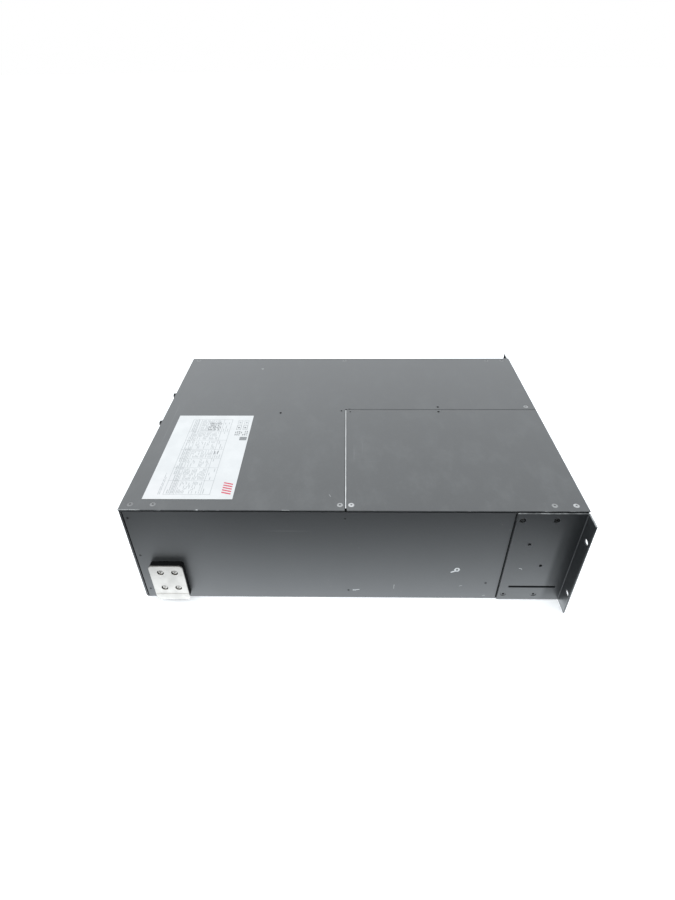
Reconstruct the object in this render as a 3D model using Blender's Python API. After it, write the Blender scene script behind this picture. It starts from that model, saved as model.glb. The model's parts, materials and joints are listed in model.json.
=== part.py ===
"""A four-unit rackmount UPS without its plastic bezel, as separate sheet-metal, plastic and electrical parts.

Metres, +Z up. The front faces -Y and the rear +Y. The origin is the middle of the flat bottom.
"Left" is the side at -X, which is on the left for someone facing the front.
"""

import math

import bmesh
import bpy
from mathutils import Matrix, Vector

MM = 0.001

# Driving dimensions.
RACK_WIDTH = 482.6 * MM  # across the two rack ears
BODY_WIDTH = 432 * MM  # across the top cover
BODY_HEIGHT = 175 * MM
BODY_DEPTH = 611 * MM
SHEET = 1.5 * MM  # steel sheet of the casing
GAP = 0.3 * MM  # between parts that touch
RACK_HOLE_SPACING_X = 465.1 * MM
RACK_HOLE_SPACING_Z = 101.6 * MM

# Planes that follow from them.
HALF_BODY = BODY_WIDTH / 2
FRONT = -BODY_DEPTH / 2
REAR = BODY_DEPTH / 2
COVER_BOTTOM = BODY_HEIGHT - SHEET
SIDE_OUT = HALF_BODY - 0.8 * MM  # outer face of the casing's sides
SIDE_IN = SIDE_OUT - SHEET
SIDE_TOP = COVER_BOTTOM - 0.9 * MM
PANEL_TOP = COVER_BOTTOM - GAP
CASE_FRONT_END = FRONT + SHEET + 0.5 * MM
CASE_REAR_END = REAR - SHEET - 0.8 * MM
REAR_FACE = REAR + GAP  # where parts sit on the outside of the rear panel
REAR_INNER = REAR - SHEET - GAP
FRONT_FACE = FRONT - GAP

# The battery bay takes the left front quarter of the casing.
BAY_WALL = 1.6 * MM
BAY_RIGHT = 28 * MM  # face of the long divider towards the bay
BAY_BACK = 7.7 * MM  # face of the cross wall towards the bay
SEAM = 0.4 * MM  # half the gap between the two covers along the bay

# Orientations of a flat outline: its local x and y run along these world axes.
LYING = Matrix.Identity(4)  # x, y
FACING = Matrix.Rotation(math.pi / 2, 4, "X")  # x, z
SIDEWAYS = Matrix(((0, 0, 1, 0), (1, 0, 0, 0), (0, 1, 0, 0), (0, 0, 0, 1)))  # y, z

for old in list(bpy.data.objects):
    bpy.data.objects.remove(old)

ups = bpy.data.collections.new("rackmount_ups")
cutters = bpy.data.collections.new("cutters")
bpy.context.scene.collection.children.link(ups)
bpy.context.scene.collection.children.link(cutters)


# ---------------------------------------------------------------- materials


def material(name, colour, roughness, metallic=0.0):
    made = bpy.data.materials.new(name)
    made.use_nodes = True
    shader = made.node_tree.nodes["Principled BSDF"]
    shader.inputs["Base Color"].default_value = (*colour, 1)
    shader.inputs["Roughness"].default_value = roughness
    shader.inputs["Metallic"].default_value = metallic
    made.diffuse_color = (*colour, 1)
    return made


BLACK_PAINT = material("black_paint", (0.035, 0.037, 0.04), 0.42)
ZINC = material("zinc_plate", (0.72, 0.73, 0.72), 0.35, 0.9)
GALVANISED = material("galvanised_steel", (0.62, 0.64, 0.66), 0.4, 0.9)
BLACK_PLASTIC = material("black_plastic", (0.02, 0.02, 0.021), 0.5)
GREY_PLASTIC = material("grey_plastic", (0.2, 0.21, 0.22), 0.5)
BUTTON_PLASTIC = material("button_plastic", (0.55, 0.56, 0.55), 0.45)
SMOKED_LENS = material("smoked_lens", (0.03, 0.035, 0.035), 0.12)
LABEL_FILM = material("label_film", (0.88, 0.89, 0.9), 0.4)
BOARD = material("circuit_board", (0.03, 0.19, 0.07), 0.5)
ALUMINIUM = material("aluminium", (0.66, 0.67, 0.68), 0.35, 1.0)
CORE_STEEL = material("core_steel", (0.16, 0.17, 0.18), 0.5, 0.6)
WINDING_TAPE = material("winding_tape", (0.55, 0.33, 0.06), 0.5)
CAPACITOR_SLEEVE = material("capacitor_sleeve", (0.03, 0.05, 0.12), 0.4)
BATTERY_CASE = material("battery_case", (0.06, 0.065, 0.07), 0.55)
CABLE_RUBBER = material("cable_rubber", (0.35, 0.02, 0.02), 0.6)


# ---------------------------------------------------------------- shape tools


def add_object(name, mesh, look, location=(0, 0, 0)):
    made = bpy.data.objects.new(name, mesh)
    made.location = location
    ups.objects.link(made)
    if look is not None:
        mesh.materials.append(look)
    return made


def block(name, x, y, z, look=None):
    """A box between two planes along each axis."""
    size = Vector((x[1] - x[0], y[1] - y[0], z[1] - z[0]))
    centre = Vector((x[0] + x[1], y[0] + y[1], z[0] + z[1])) / 2
    work = bmesh.new()
    bmesh.ops.create_cube(work, size=1, matrix=Matrix.Diagonal((*size, 1)))
    mesh = bpy.data.meshes.new(name)
    work.to_mesh(mesh)
    work.free()
    return add_object(name, mesh, look, centre)


def round_bar(name, radius, centre, span, look=None, sides=24, axis="Y"):
    """A cylinder along an axis; centre holds its two other coordinates, and span its ends."""
    turn = {"X": Matrix.Rotation(math.pi / 2, 4, "Y"), "Y": FACING, "Z": LYING}[axis]
    work = bmesh.new()
    bmesh.ops.create_cone(
        work,
        cap_ends=True,
        segments=sides,
        radius1=radius,
        radius2=radius,
        depth=span[1] - span[0],
        matrix=turn,
    )
    mesh = bpy.data.meshes.new(name)
    work.to_mesh(mesh)
    work.free()
    mesh.shade_smooth()
    mesh.set_sharp_from_angle(angle=math.radians(40))
    middle = (span[0] + span[1]) / 2
    place = {
        "X": (middle, centre[0], centre[1]),
        "Y": (centre[0], middle, centre[1]),
        "Z": (centre[0], centre[1], middle),
    }[axis]
    return add_object(name, mesh, look, place)


def as_mesh(curve_object, look):
    """Turns a curve into a mesh whose caps are welded to its sides."""
    bpy.context.view_layer.update()
    graph = bpy.context.evaluated_depsgraph_get()
    mesh = bpy.data.meshes.new_from_object(curve_object.evaluated_get(graph))
    work = bmesh.new()
    work.from_mesh(mesh)
    bmesh.ops.remove_doubles(work, verts=work.verts, dist=1e-7)
    work.to_mesh(mesh)
    work.free()
    mesh.materials.clear()
    place = curve_object.matrix_world.copy()
    name = curve_object.name
    bpy.data.objects.remove(curve_object)
    made = add_object(name, mesh, look)
    made.matrix_world = place
    return made


def flat(name, outlines, turn, place, thickness, look=None):
    """A plate whose first outline is its edge and whose other outlines are its holes."""
    curve = bpy.data.curves.new(name, "CURVE")
    curve.dimensions = "2D"
    curve.fill_mode = "BOTH"
    curve.extrude = thickness / 2
    for outline in outlines:
        spline = curve.splines.new("POLY")
        spline.points.add(len(outline) - 1)
        for point, (u, v) in zip(spline.points, outline):
            point.co = (u, v, 0, 1)
        spline.use_cyclic_u = True
    made = bpy.data.objects.new(name, curve)
    ups.objects.link(made)
    made.matrix_world = Matrix.Translation(place) @ turn
    return as_mesh(made, look)


def tube(name, points, radius, look):
    """A round bar bent along points, with flat ends."""
    curve = bpy.data.curves.new(name, "CURVE")
    curve.dimensions = "3D"
    curve.bevel_depth = radius
    curve.bevel_resolution = 3
    curve.use_fill_caps = True
    spline = curve.splines.new("POLY")
    spline.points.add(len(points) - 1)
    for point, place in zip(spline.points, points):
        point.co = (*place, 1)
    made = bpy.data.objects.new(name, curve)
    ups.objects.link(made)
    made = as_mesh(made, look)
    made.data.shade_smooth()
    made.data.set_sharp_from_angle(angle=math.radians(50))
    return made


def arc(centre, radius, start, end, steps):
    """Points on a circle from one angle to another, in degrees, both ends included."""
    turn = [math.radians(start + (end - start) * i / steps) for i in range(steps + 1)]
    return [(centre[0] + radius * math.cos(a), centre[1] + radius * math.sin(a)) for a in turn]


def rectangle(centre, size, corner=0.0, steps=3):
    """A rectangle's outline, with round corners where corner isn't 0."""
    half_u, half_v = size[0] / 2 - corner, size[1] / 2 - corner
    signs = ((1, 1), (-1, 1), (-1, -1), (1, -1))
    points = []
    for quarter, (u, v) in enumerate(signs):
        pivot = (centre[0] + u * half_u, centre[1] + v * half_v)
        if corner:
            points += arc(pivot, corner, 90 * quarter, 90 * quarter + 90, steps)
        else:
            points.append(pivot)
    return points


def circle(centre, radius, steps=20):
    return arc(centre, radius, 0, 360, steps)[:-1]


def use_as_tool(tool):
    ups.objects.unlink(tool)
    cutters.objects.link(tool)
    tool.hide_render = True
    tool.display_type = "WIRE"


def combine(target, operation, tools):
    for tool in tools:
        use_as_tool(tool)
        change = target.modifiers.new(tool.name, "BOOLEAN")
        change.operation = operation
        change.object = tool
    return target


def cut(target, *tools):
    return combine(target, "DIFFERENCE", tools)


def fuse(target, *tools):
    return combine(target, "UNION", tools)


def span(middle, size):
    return (middle - size / 2, middle + size / 2)


# ---------------------------------------------------------------- casing

FLANGE = 14 * MM  # inward top flanges that the covers screw to
FRONT_FLANGE = 10.7 * MM  # beside the battery bay's mouth, for the tray's captive screws
TRAY_SCREW_Z = 86 * MM
TRAY_SCREW_X = (-208.4 * MM, 22.6 * MM)
SCREW_HOLE = 2.4 * MM


def make_case():
    """Bottom and sides folded from one sheet, with inward flanges along the top."""
    out, inner, lip = SIDE_OUT, SIDE_IN, SIDE_OUT - FLANGE
    top, under = SIDE_TOP, SIDE_TOP - SHEET
    right = [(out, 0), (out, top), (lip, top), (lip, under), (inner, under), (inner, SHEET)]
    left = [(-u, v) for u, v in reversed(right)]
    length = CASE_REAR_END - CASE_FRONT_END
    middle = (CASE_REAR_END + CASE_FRONT_END) / 2
    case = flat("case", [right + left], FACING, (0, middle, 0), length, BLACK_PAINT)
    mouth_flange = block(
        "mouth_flange",
        (-SIDE_IN - 0.5 * MM, -SIDE_IN + FRONT_FLANGE),
        (CASE_FRONT_END, CASE_FRONT_END + SHEET),
        (SHEET / 2, SIDE_TOP - SHEET / 2),
    )
    fuse(case, mouth_flange)
    wall_notch = block(
        "wall_notch",
        (-SIDE_IN, -SIDE_OUT + FLANGE + MM),
        (BAY_BACK - 0.5 * MM, BAY_BACK + BAY_WALL + 0.5 * MM),
        (under - MM, top + MM),
    )
    screw_way = round_bar(
        "case_screw_way",
        SCREW_HOLE,
        (TRAY_SCREW_X[0], TRAY_SCREW_Z),
        (CASE_FRONT_END - MM, CASE_FRONT_END + 2 * SHEET),
        sides=12,
    )
    return cut(case, wall_notch, screw_way)


def make_covers():
    """An L-shaped main cover, and a smaller cover over the battery bay."""
    middle = (0, 0, (COVER_BOTTOM + BODY_HEIGHT) / 2)
    wall_middle = BAY_BACK + BAY_WALL / 2
    half_slot = BAY_WALL / 2 + 0.5 * MM  # the cross wall's edge shows between the covers
    seam_x = BAY_RIGHT + 2 * MM
    corner = (seam_x + SEAM, wall_middle + half_slot)
    main = [
        (-HALF_BODY, corner[1]),
        corner,
        (corner[0], FRONT),
        (HALF_BODY, FRONT),
        (HALF_BODY, REAR),
        (-HALF_BODY, REAR),
    ]
    flat("top_cover", [main], LYING, middle, SHEET, BLACK_PAINT)
    block(
        "battery_bay_cover",
        (-HALF_BODY, seam_x - SEAM),
        (FRONT, wall_middle - half_slot),
        (COVER_BOTTOM, BODY_HEIGHT),
        BLACK_PAINT,
    )


CONNECTOR_X = (-15.5 * MM, 13.5 * MM)
CONNECTOR_Z = (50 * MM, 80 * MM)


def make_bay_divider():
    """One bare steel sheet folded round the battery bay. Its top edge shows between the covers."""
    end = CASE_FRONT_END + GAP
    wall_left = -211.4 * MM
    outside = BAY_RIGHT + BAY_WALL
    outline = [
        (wall_left, BAY_BACK),
        (BAY_RIGHT, BAY_BACK),
        (BAY_RIGHT, end + SHEET),
        (BAY_RIGHT - 10 * MM, end + SHEET),
        (BAY_RIGHT - 10 * MM, end),
        (outside, end),
        (outside, BAY_BACK + BAY_WALL),
        (wall_left, BAY_BACK + BAY_WALL),
    ]
    low, high = SHEET + GAP, SIDE_TOP
    divider = flat(
        "bay_divider", [outline], LYING, (0, 0, (low + high) / 2), high - low, GALVANISED
    )
    crest = block(
        "crest",
        (wall_left, BAY_RIGHT),
        (BAY_BACK, BAY_BACK + BAY_WALL),
        (high - 4 * MM, BODY_HEIGHT - GAP),
    )
    fuse(divider, crest)
    connector_way = block(
        "connector_way",
        (CONNECTOR_X[0] - GAP, CONNECTOR_X[1] + GAP),
        span(BAY_BACK, 8 * MM),
        (CONNECTOR_Z[0] - GAP, CONNECTOR_Z[1] + GAP),
    )
    screw_way = round_bar(
        "divider_screw_way",
        SCREW_HOLE,
        (TRAY_SCREW_X[1], TRAY_SCREW_Z),
        (end - MM, end + 2 * SHEET),
        sides=12,
    )
    return cut(divider, connector_way, screw_way)


# ---------------------------------------------------------------- rear panel and what it carries

FAN_Z = 88 * MM
FAN_X = {"left": -161 * MM, "right": -63 * MM}
FAN_SIZE = 92 * MM
FAN_BORE = 43.5 * MM
FAN_HOLE = 41.5 * MM  # in the rear panel
SLOT_X, SLOT_Z = 52.6 * MM, 157.5 * MM
SLOT_PLATE = (112 * MM, 29 * MM)
SLOT_MOUTH = (74 * MM, 22 * MM)
SLOT_SCREW_X = (8.2 * MM, 97 * MM)
SLOT_SCREW_Z = 161 * MM

# Sizes across and up: the flange outside the panel, the body through it, the pocket, the tongue.
SMALL_OUTLET = ((33, 26), (27.4, 19.8), (24.6, 17), (19.2, 11.6))
LARGE_OUTLET = ((43, 35), (37, 29), (33.6, 25.6), (27, 19))
INLET = ((43, 35), (37, 29), (33, 25), None)
OUTLET_COLUMNS = (18 * MM, 62 * MM)
OUTLET_ROWS = (104 * MM, 62 * MM)
LARGE_OUTLET_PLACE = (118 * MM, 84 * MM)
INLET_PLACE = (180 * MM, 84 * MM)
BREAKER_PLACES = {"input": (180 * MM, 36 * MM), "output": (118 * MM, 36 * MM)}
BREAKER_BUSH = 6 * MM
BATTERY_PORT_PLACE = (40 * MM, 24 * MM)
SERIAL_PLACE = (141 * MM, 157 * MM)
USB_PLACE = (184 * MM, 157 * MM)
STUD_PLACE = (150 * MM, 20 * MM)
STUD_RADIUS = 2.5 * MM


def mm_size(size):
    return (size[0] * MM, size[1] * MM)


def rear_block(name, place, size, depth, look=None):
    """A box on the rear panel, centred at place = (x, z)."""
    return block(name, span(place[0], size[0]), depth, span(place[1], size[1]), look)


def outlet_places():
    return [(x, z) for z in OUTLET_ROWS for x in OUTLET_COLUMNS]


def make_rear_panel():
    """A plate with side flanges, punched for the fans, sockets, ports, breakers and vents."""
    flange_out, flange_in = SIDE_IN - GAP, SIDE_IN - GAP - SHEET
    inner = REAR - SHEET
    flange_end = inner - 18 * MM
    right = [
        (flange_in, inner),
        (flange_in, flange_end),
        (flange_out, flange_end),
        (flange_out, REAR - SHEET / 2),
    ]
    left = [(-u, v) for u, v in reversed(right)]
    low, high = SHEET + GAP, SIDE_TOP - SHEET - GAP
    panel = flat(
        "rear_panel", [right + left], LYING, (0, 0, (low + high) / 2), high - low, BLACK_PAINT
    )
    half_plate = SIDE_OUT - 1.2 * MM
    plate = block("plate", (-half_plate, half_plate), (inner, REAR), (0.4 * MM, PANEL_TOP))
    fuse(panel, plate)

    through = span(REAR, 8 * MM)
    clear = 2 * GAP
    for side, x in FAN_X.items():
        cut(panel, round_bar(f"{side}_fan_hole", FAN_HOLE, (x, FAN_Z), through, sides=32))
    openings = [(place, mm_size(SMALL_OUTLET[1])) for place in outlet_places()]
    openings += [
        (LARGE_OUTLET_PLACE, mm_size(LARGE_OUTLET[1])),
        (INLET_PLACE, mm_size(INLET[1])),
        (BATTERY_PORT_PLACE, BATTERY_PORT_BODY),
        (SERIAL_PLACE, SERIAL_BODY),
        (USB_PLACE, USB_BODY),
        ((SLOT_X, SLOT_Z), (SLOT_MOUTH[0] - clear, SLOT_MOUTH[1] - clear)),
    ]
    for number, (place, size) in enumerate(openings):
        grown = (size[0] + clear, size[1] + clear)
        cut(panel, rear_block(f"rear_opening_{number}", place, grown, through))
    round_holes = [(place, BREAKER_BUSH + GAP) for place in BREAKER_PLACES.values()]
    round_holes += [(STUD_PLACE, STUD_RADIUS + GAP)]
    round_holes += [((x, SLOT_SCREW_Z), SCREW_HOLE) for x in SLOT_SCREW_X]
    for number, (place, radius) in enumerate(round_holes):
        cut(panel, round_bar(f"rear_hole_{number}", radius, place, through, sides=16))

    vent_pitch, vent_count = 7 * MM, 11
    for side, x in FAN_X.items():
        for number in range(vent_count):
            place = (x + (number - (vent_count - 1) / 2) * vent_pitch, 155 * MM)
            vent = rear_block(f"{side}_vent_{number}", place, (3.2 * MM, 16 * MM), through)
            cut(panel, vent)
    return panel


def make_socket(name, place, sizes, slots, look=BLACK_PLASTIC):
    """A panel socket: flange outside, body through the panel, and a pocket with a slotted tongue."""
    flange, body, pocket, tongue = sizes
    face = REAR_FACE + 2.4 * MM
    floor = REAR - 11 * MM
    socket = rear_block(name, place, mm_size(flange), (REAR_FACE, face), look)
    body_depth = (REAR - 19 * MM, REAR_FACE + MM)
    fuse(socket, rear_block(f"{name}_body", place, mm_size(body), body_depth))
    cut(socket, rear_block(f"{name}_pocket", place, mm_size(pocket), (floor, face + MM)))
    fuse(
        socket,
        rear_block(f"{name}_tongue", place, mm_size(tongue), (floor - MM, face - 0.6 * MM)),
    )
    for number, (across, up, width, height) in enumerate(slots):
        slot_place = (place[0] + across * MM, place[1] + up * MM)
        slot_depth = (floor + MM, face + MM)
        slot_size = (width * MM, height * MM)
        cut(socket, rear_block(f"{name}_slot_{number}", slot_place, slot_size, slot_depth))
    return socket


def make_inlet():
    """The mains inlet: a deep pocket with three flat blades."""
    flange, body, pocket, _ = INLET
    face = REAR_FACE + 2.4 * MM
    floor = REAR - 15 * MM
    flange_depth = (REAR_FACE, face)
    inlet = rear_block("power_inlet", INLET_PLACE, mm_size(flange), flange_depth, BLACK_PLASTIC)
    body_depth = (REAR - 22 * MM, REAR_FACE + MM)
    fuse(inlet, rear_block("inlet_body", INLET_PLACE, mm_size(body), body_depth))
    cut(inlet, rear_block("inlet_pocket", INLET_PLACE, mm_size(pocket), (floor, face + MM)))
    for number, (across, up) in enumerate(((-7, -2.5), (7, -2.5), (0, 3.5))):
        place = (INLET_PLACE[0] + across * MM, INLET_PLACE[1] + up * MM)
        blade_depth = (floor - MM, REAR - 1.5 * MM)
        fuse(inlet, rear_block(f"inlet_blade_{number}", place, (7.6 * MM, 2 * MM), blade_depth))
    return inlet


def make_sockets():
    small_slots = ((-4.9, -1.6, 2.4, 5), (4.9, -1.6, 2.4, 5), (0, 2.4, 2.4, 5))
    large_slots = ((-7.5, -3, 8.4, 2.8), (7.5, -3, 8.4, 2.8), (0, 4.5, 8.4, 2.8))
    for number, place in enumerate(outlet_places(), start=1):
        make_socket(f"power_outlet_{number}", place, SMALL_OUTLET, small_slots)
    make_socket("heavy_outlet", LARGE_OUTLET_PLACE, LARGE_OUTLET, large_slots)
    make_inlet()


BATTERY_PORT_BODY = (50 * MM, 18 * MM)
SERIAL_BODY = (19 * MM, 10 * MM)
USB_BODY = (12.2 * MM, 11.2 * MM)


def make_battery_port():
    """The connector for extra battery packs: two contact windows in a thick housing."""
    place = BATTERY_PORT_PLACE
    face = REAR_FACE + 4 * MM
    flange_depth = (REAR_FACE, REAR_FACE + 2 * MM)
    port = rear_block("battery_port", place, (60 * MM, 25 * MM), flange_depth, GREY_PLASTIC)
    fuse(port, rear_block("battery_port_body", place, BATTERY_PORT_BODY, (REAR - 26 * MM, face)))
    for number, side in enumerate((-1, 1)):
        window = (place[0] + side * 12.5 * MM, place[1])
        depth = (face - 3.5 * MM, face + MM)
        cut(port, rear_block(f"battery_window_{number}", window, (17 * MM, 11 * MM), depth))
    return port


def make_serial_port():
    """A nine-way D connector with its flange and two hexagonal jack posts."""
    x, z = SERIAL_PLACE
    face = REAR_FACE + MM
    port = rear_block("serial_port", SERIAL_PLACE, (31 * MM, 12.6 * MM), (REAR_FACE, face), ALUMINIUM)
    wide, narrow, half = 8.4 * MM, 7.2 * MM, 4.2 * MM
    corners = ((-narrow, -half), (narrow, -half), (wide, half), (-wide, half))
    shell = [(x + across, z + up) for across, up in corners]
    shell_depth = 7 * MM
    shell_middle = REAR_FACE + shell_depth / 2 - 0.5 * MM
    fuse(port, flat("d_shell", [shell], FACING, (0, shell_middle, 0), shell_depth))
    body_depth = (REAR - 14 * MM, REAR_FACE + 0.5 * MM)
    fuse(port, rear_block("serial_body", SERIAL_PLACE, SERIAL_BODY, body_depth))
    post_span = (REAR_FACE + 0.2 * MM, REAR_FACE + 5 * MM)
    for number, side in enumerate((-1, 1)):
        post_place = (x + side * 12.5 * MM, z)
        fuse(port, round_bar(f"jack_post_{number}", 2.4 * MM, post_place, post_span, sides=6))
    return port


def make_usb_port():
    """A square type-B socket: a steel shell with a tongue inside."""
    face = REAR_FACE + 2 * MM
    port = rear_block("usb_port", USB_PLACE, USB_BODY, (REAR - 16 * MM, face), ALUMINIUM)
    cut(port, rear_block("usb_mouth", USB_PLACE, (8.6 * MM, 7.8 * MM), (REAR - 8 * MM, face + MM)))
    tongue_depth = (REAR - 9 * MM, face - 1.2 * MM)
    fuse(port, rear_block("usb_tongue", USB_PLACE, (5.6 * MM, 3.4 * MM), tongue_depth))
    return port


def make_breakers():
    """Two push-to-reset breakers. Their buttons stand out further once tripped."""
    for side, place in BREAKER_PLACES.items():
        name = f"{side}_breaker"
        body = rear_block(name, place, (26 * MM, 18 * MM), (REAR - 36 * MM, REAR_INNER), BLACK_PLASTIC)
        bush_end = REAR_FACE + 6 * MM
        bush = round_bar(f"{name}_bush", BREAKER_BUSH, place, (REAR_INNER - MM, bush_end), sides=24)
        nut = round_bar(f"{name}_nut", 8.6 * MM, place, (REAR_FACE, REAR_FACE + 2.6 * MM), sides=6)
        fuse(body, bush, nut)
        button_radius = 3.7 * MM
        bore_span = (REAR - 20 * MM, bush_end + MM)
        cut(body, round_bar(f"{name}_bore", button_radius + 0.4 * MM, place, bore_span))
        button_span = (REAR - 18 * MM, bush_end + 3.2 * MM)
        round_bar(f"{name}_button", button_radius, place, button_span, BUTTON_PLASTIC)


def make_ground_stud():
    stud_span = (REAR - 8 * MM, REAR_FACE + 11 * MM)
    stud = round_bar("ground_stud", STUD_RADIUS, STUD_PLACE, stud_span, ZINC, sides=12)
    nut = round_bar("stud_nut", 4.6 * MM, STUD_PLACE, (REAR_FACE, REAR_FACE + 4 * MM), sides=6)
    return fuse(stud, nut)


def make_accessory_slot():
    """A slot for an interface card, closed by a plate with two thumb screws."""
    place = (SLOT_X, SLOT_Z)
    outer = (SLOT_MOUTH[0] + 4 * MM, SLOT_MOUTH[1] + 4 * MM)
    cage = rear_block("accessory_slot_cage", place, outer, (REAR - 150 * MM, REAR_INNER), GALVANISED)
    hollow_depth = (REAR - 150 * MM + 1.2 * MM, REAR)
    cut(cage, rear_block("cage_hollow", place, (outer[0] - 2.4 * MM, outer[1] - 2.4 * MM), hollow_depth))
    plate_depth = (REAR_FACE, REAR_FACE + SHEET)
    plate = rear_block("accessory_slot_cover", place, SLOT_PLATE, plate_depth, BLACK_PAINT)
    through = span(REAR_FACE, 8 * MM)
    head_start = REAR_FACE + SHEET + GAP
    for number, x in enumerate(SLOT_SCREW_X, start=1):
        screw_place = (x, SLOT_SCREW_Z)
        cut(plate, round_bar(f"slot_cover_hole_{number}", SCREW_HOLE, screw_place, through, sides=16))
        head = (head_start, head_start + 8 * MM)
        make_thumbscrew(f"slot_thumbscrew_{number}", screw_place, head, REAR - 6 * MM, BLACK_PLASTIC)


def make_thumbscrew(name, place, head, tip, look):
    """A knob on a plain shank, turning about a line along Y."""
    knob = round_bar(name, 5 * MM, place, head, look, sides=16)
    inner = min(head, key=lambda y: abs(y - tip))
    overlap = 0.5 * MM if tip < inner else -0.5 * MM
    shank_span = tuple(sorted((tip, inner + overlap)))
    return fuse(knob, round_bar(f"{name}_shank", 1.9 * MM, place, shank_span, sides=12))


def make_fan(side, x):
    """A square axial fan: frame with a four-armed motor mount, rotor, and a finger guard outside."""
    place = (x, FAN_Z)
    back = REAR_INNER
    front = back - 25.4 * MM
    frame = rear_block(f"fan_frame_{side}", place, (FAN_SIZE, FAN_SIZE), (front, back), BLACK_PLASTIC)
    cut(frame, round_bar(f"{side}_fan_bore", FAN_BORE, place, (front - MM, back + MM), sides=36))
    mount_front = back - 5 * MM
    motor = round_bar(f"{side}_motor", 17 * MM, place, (mount_front, back - 0.2 * MM))
    arm_size = (2 * FAN_BORE + 2 * MM, 4 * MM)
    arms = []
    for number, angle in enumerate((45, 135)):
        arm = rear_block(f"{side}_arm_{number}", place, arm_size, (back - 3 * MM, back - 0.4 * MM))
        arm.rotation_euler = (0, math.radians(angle), 0)
        arms.append(arm)
    fuse(frame, motor, *arms)
    make_rotor(f"fan_rotor_{side}", place, (front + 2 * MM, mount_front - 0.6 * MM))
    make_guard(f"fan_guard_{side}", place)


def make_rotor(name, place, hub_span, blades=7):
    hub_radius = 16.4 * MM
    rotor = round_bar(name, hub_radius, place, hub_span, BLACK_PLASTIC, sides=28)
    middle = (hub_span[0] + hub_span[1]) / 2
    root, tip = hub_radius - MM, FAN_BORE - 1.5 * MM
    chord, thick, pitch = 15 * MM, 1.6 * MM, math.radians(38)
    for number in range(blades):
        blade = block(f"{name}_blade_{number}", (root, tip), span(0, chord), span(0, thick))
        turn = Matrix.Rotation(2 * math.pi * number / blades, 4, "Y")
        outward = Matrix.Translation(((root + tip) / 2, 0, 0)) @ Matrix.Rotation(pitch, 4, "X")
        blade.matrix_world = Matrix.Translation((place[0], middle, place[1])) @ turn @ outward
        fuse(rotor, blade)
    return rotor


def make_guard(name, place):
    """A flat finger guard of three rings and four spokes, with a lug at each corner."""
    thick = 1.4 * MM
    rim, lug_radius, lug_reach = 46 * MM, 4.4 * MM, 58.3 * MM
    edge = []
    for corner in range(4):
        angle = 45 + 90 * corner
        turned = math.radians(angle)
        reach = (lug_reach * math.cos(turned), lug_reach * math.sin(turned))
        edge += arc((0, 0), rim, angle - 84, angle - 6, 10)
        edge += arc(reach, lug_radius, angle - 90, angle + 90, 6)
    holes = []
    half_spoke = 1.4 * MM
    for inner, outer in ((14, 23.5), (25, 33.5), (35, 43.4)):
        inner, outer = inner * MM, outer * MM
        for quarter in range(4):
            middle = 90 * quarter
            inside = 45 - math.degrees(math.asin(half_spoke / inner))
            outside = 45 - math.degrees(math.asin(half_spoke / outer))
            sector = arc((0, 0), outer, middle - outside, middle + outside, 7)
            sector += arc((0, 0), inner, middle + inside, middle - inside, 5)
            holes.append(sector)
    where = (place[0], REAR_FACE + thick / 2, place[1])
    return flat(name, [edge, *holes], FACING, where, thick, ZINC)


# ---------------------------------------------------------------- front panel and display

DISPLAY_X, DISPLAY_Z = (62 * MM, 184 * MM), (110 * MM, 166 * MM)
DISPLAY_FACE = FRONT - 6 * MM
LENS_X, LENS_Z = (72 * MM, 150 * MM), (118 * MM, 158 * MM)
BUTTON_X, BUTTON_SIZE = 168 * MM, 14 * MM
BUTTON_Z = {"on": 150 * MM, "off": 126 * MM}
BUTTON_CLEARANCE = 0.4 * MM
BOARD_BACK = 16.5 * MM  # from the front plane to the display board's front


def make_front_panel():
    """The plate in front of the electronics, with the display's window and rows of intake slots."""
    panel_x = (BAY_RIGHT + 2.8 * MM, SIDE_OUT - 1.2 * MM)
    through = span(FRONT, 8 * MM)
    panel = block("front_panel", panel_x, (FRONT, FRONT + SHEET), (0.4 * MM, PANEL_TOP), BLACK_PAINT)
    inset = 3.7 * MM
    window = block(
        "display_window",
        (DISPLAY_X[0] + inset, DISPLAY_X[1] - inset),
        through,
        (DISPLAY_Z[0] + inset, DISPLAY_Z[1] - inset),
    )
    cut(panel, window)
    columns, pitch = 20, 8 * MM
    middle = (panel_x[0] + panel_x[1]) / 2
    for row in range(3):
        z = (20 + 32 * row) * MM
        for column in range(columns):
            x = middle + (column - (columns - 1) / 2) * pitch
            slot = block(f"intake_{row}_{column}", span(x, 3.4 * MM), through, (z, z + 24 * MM))
            cut(panel, slot)
    return panel


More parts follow.
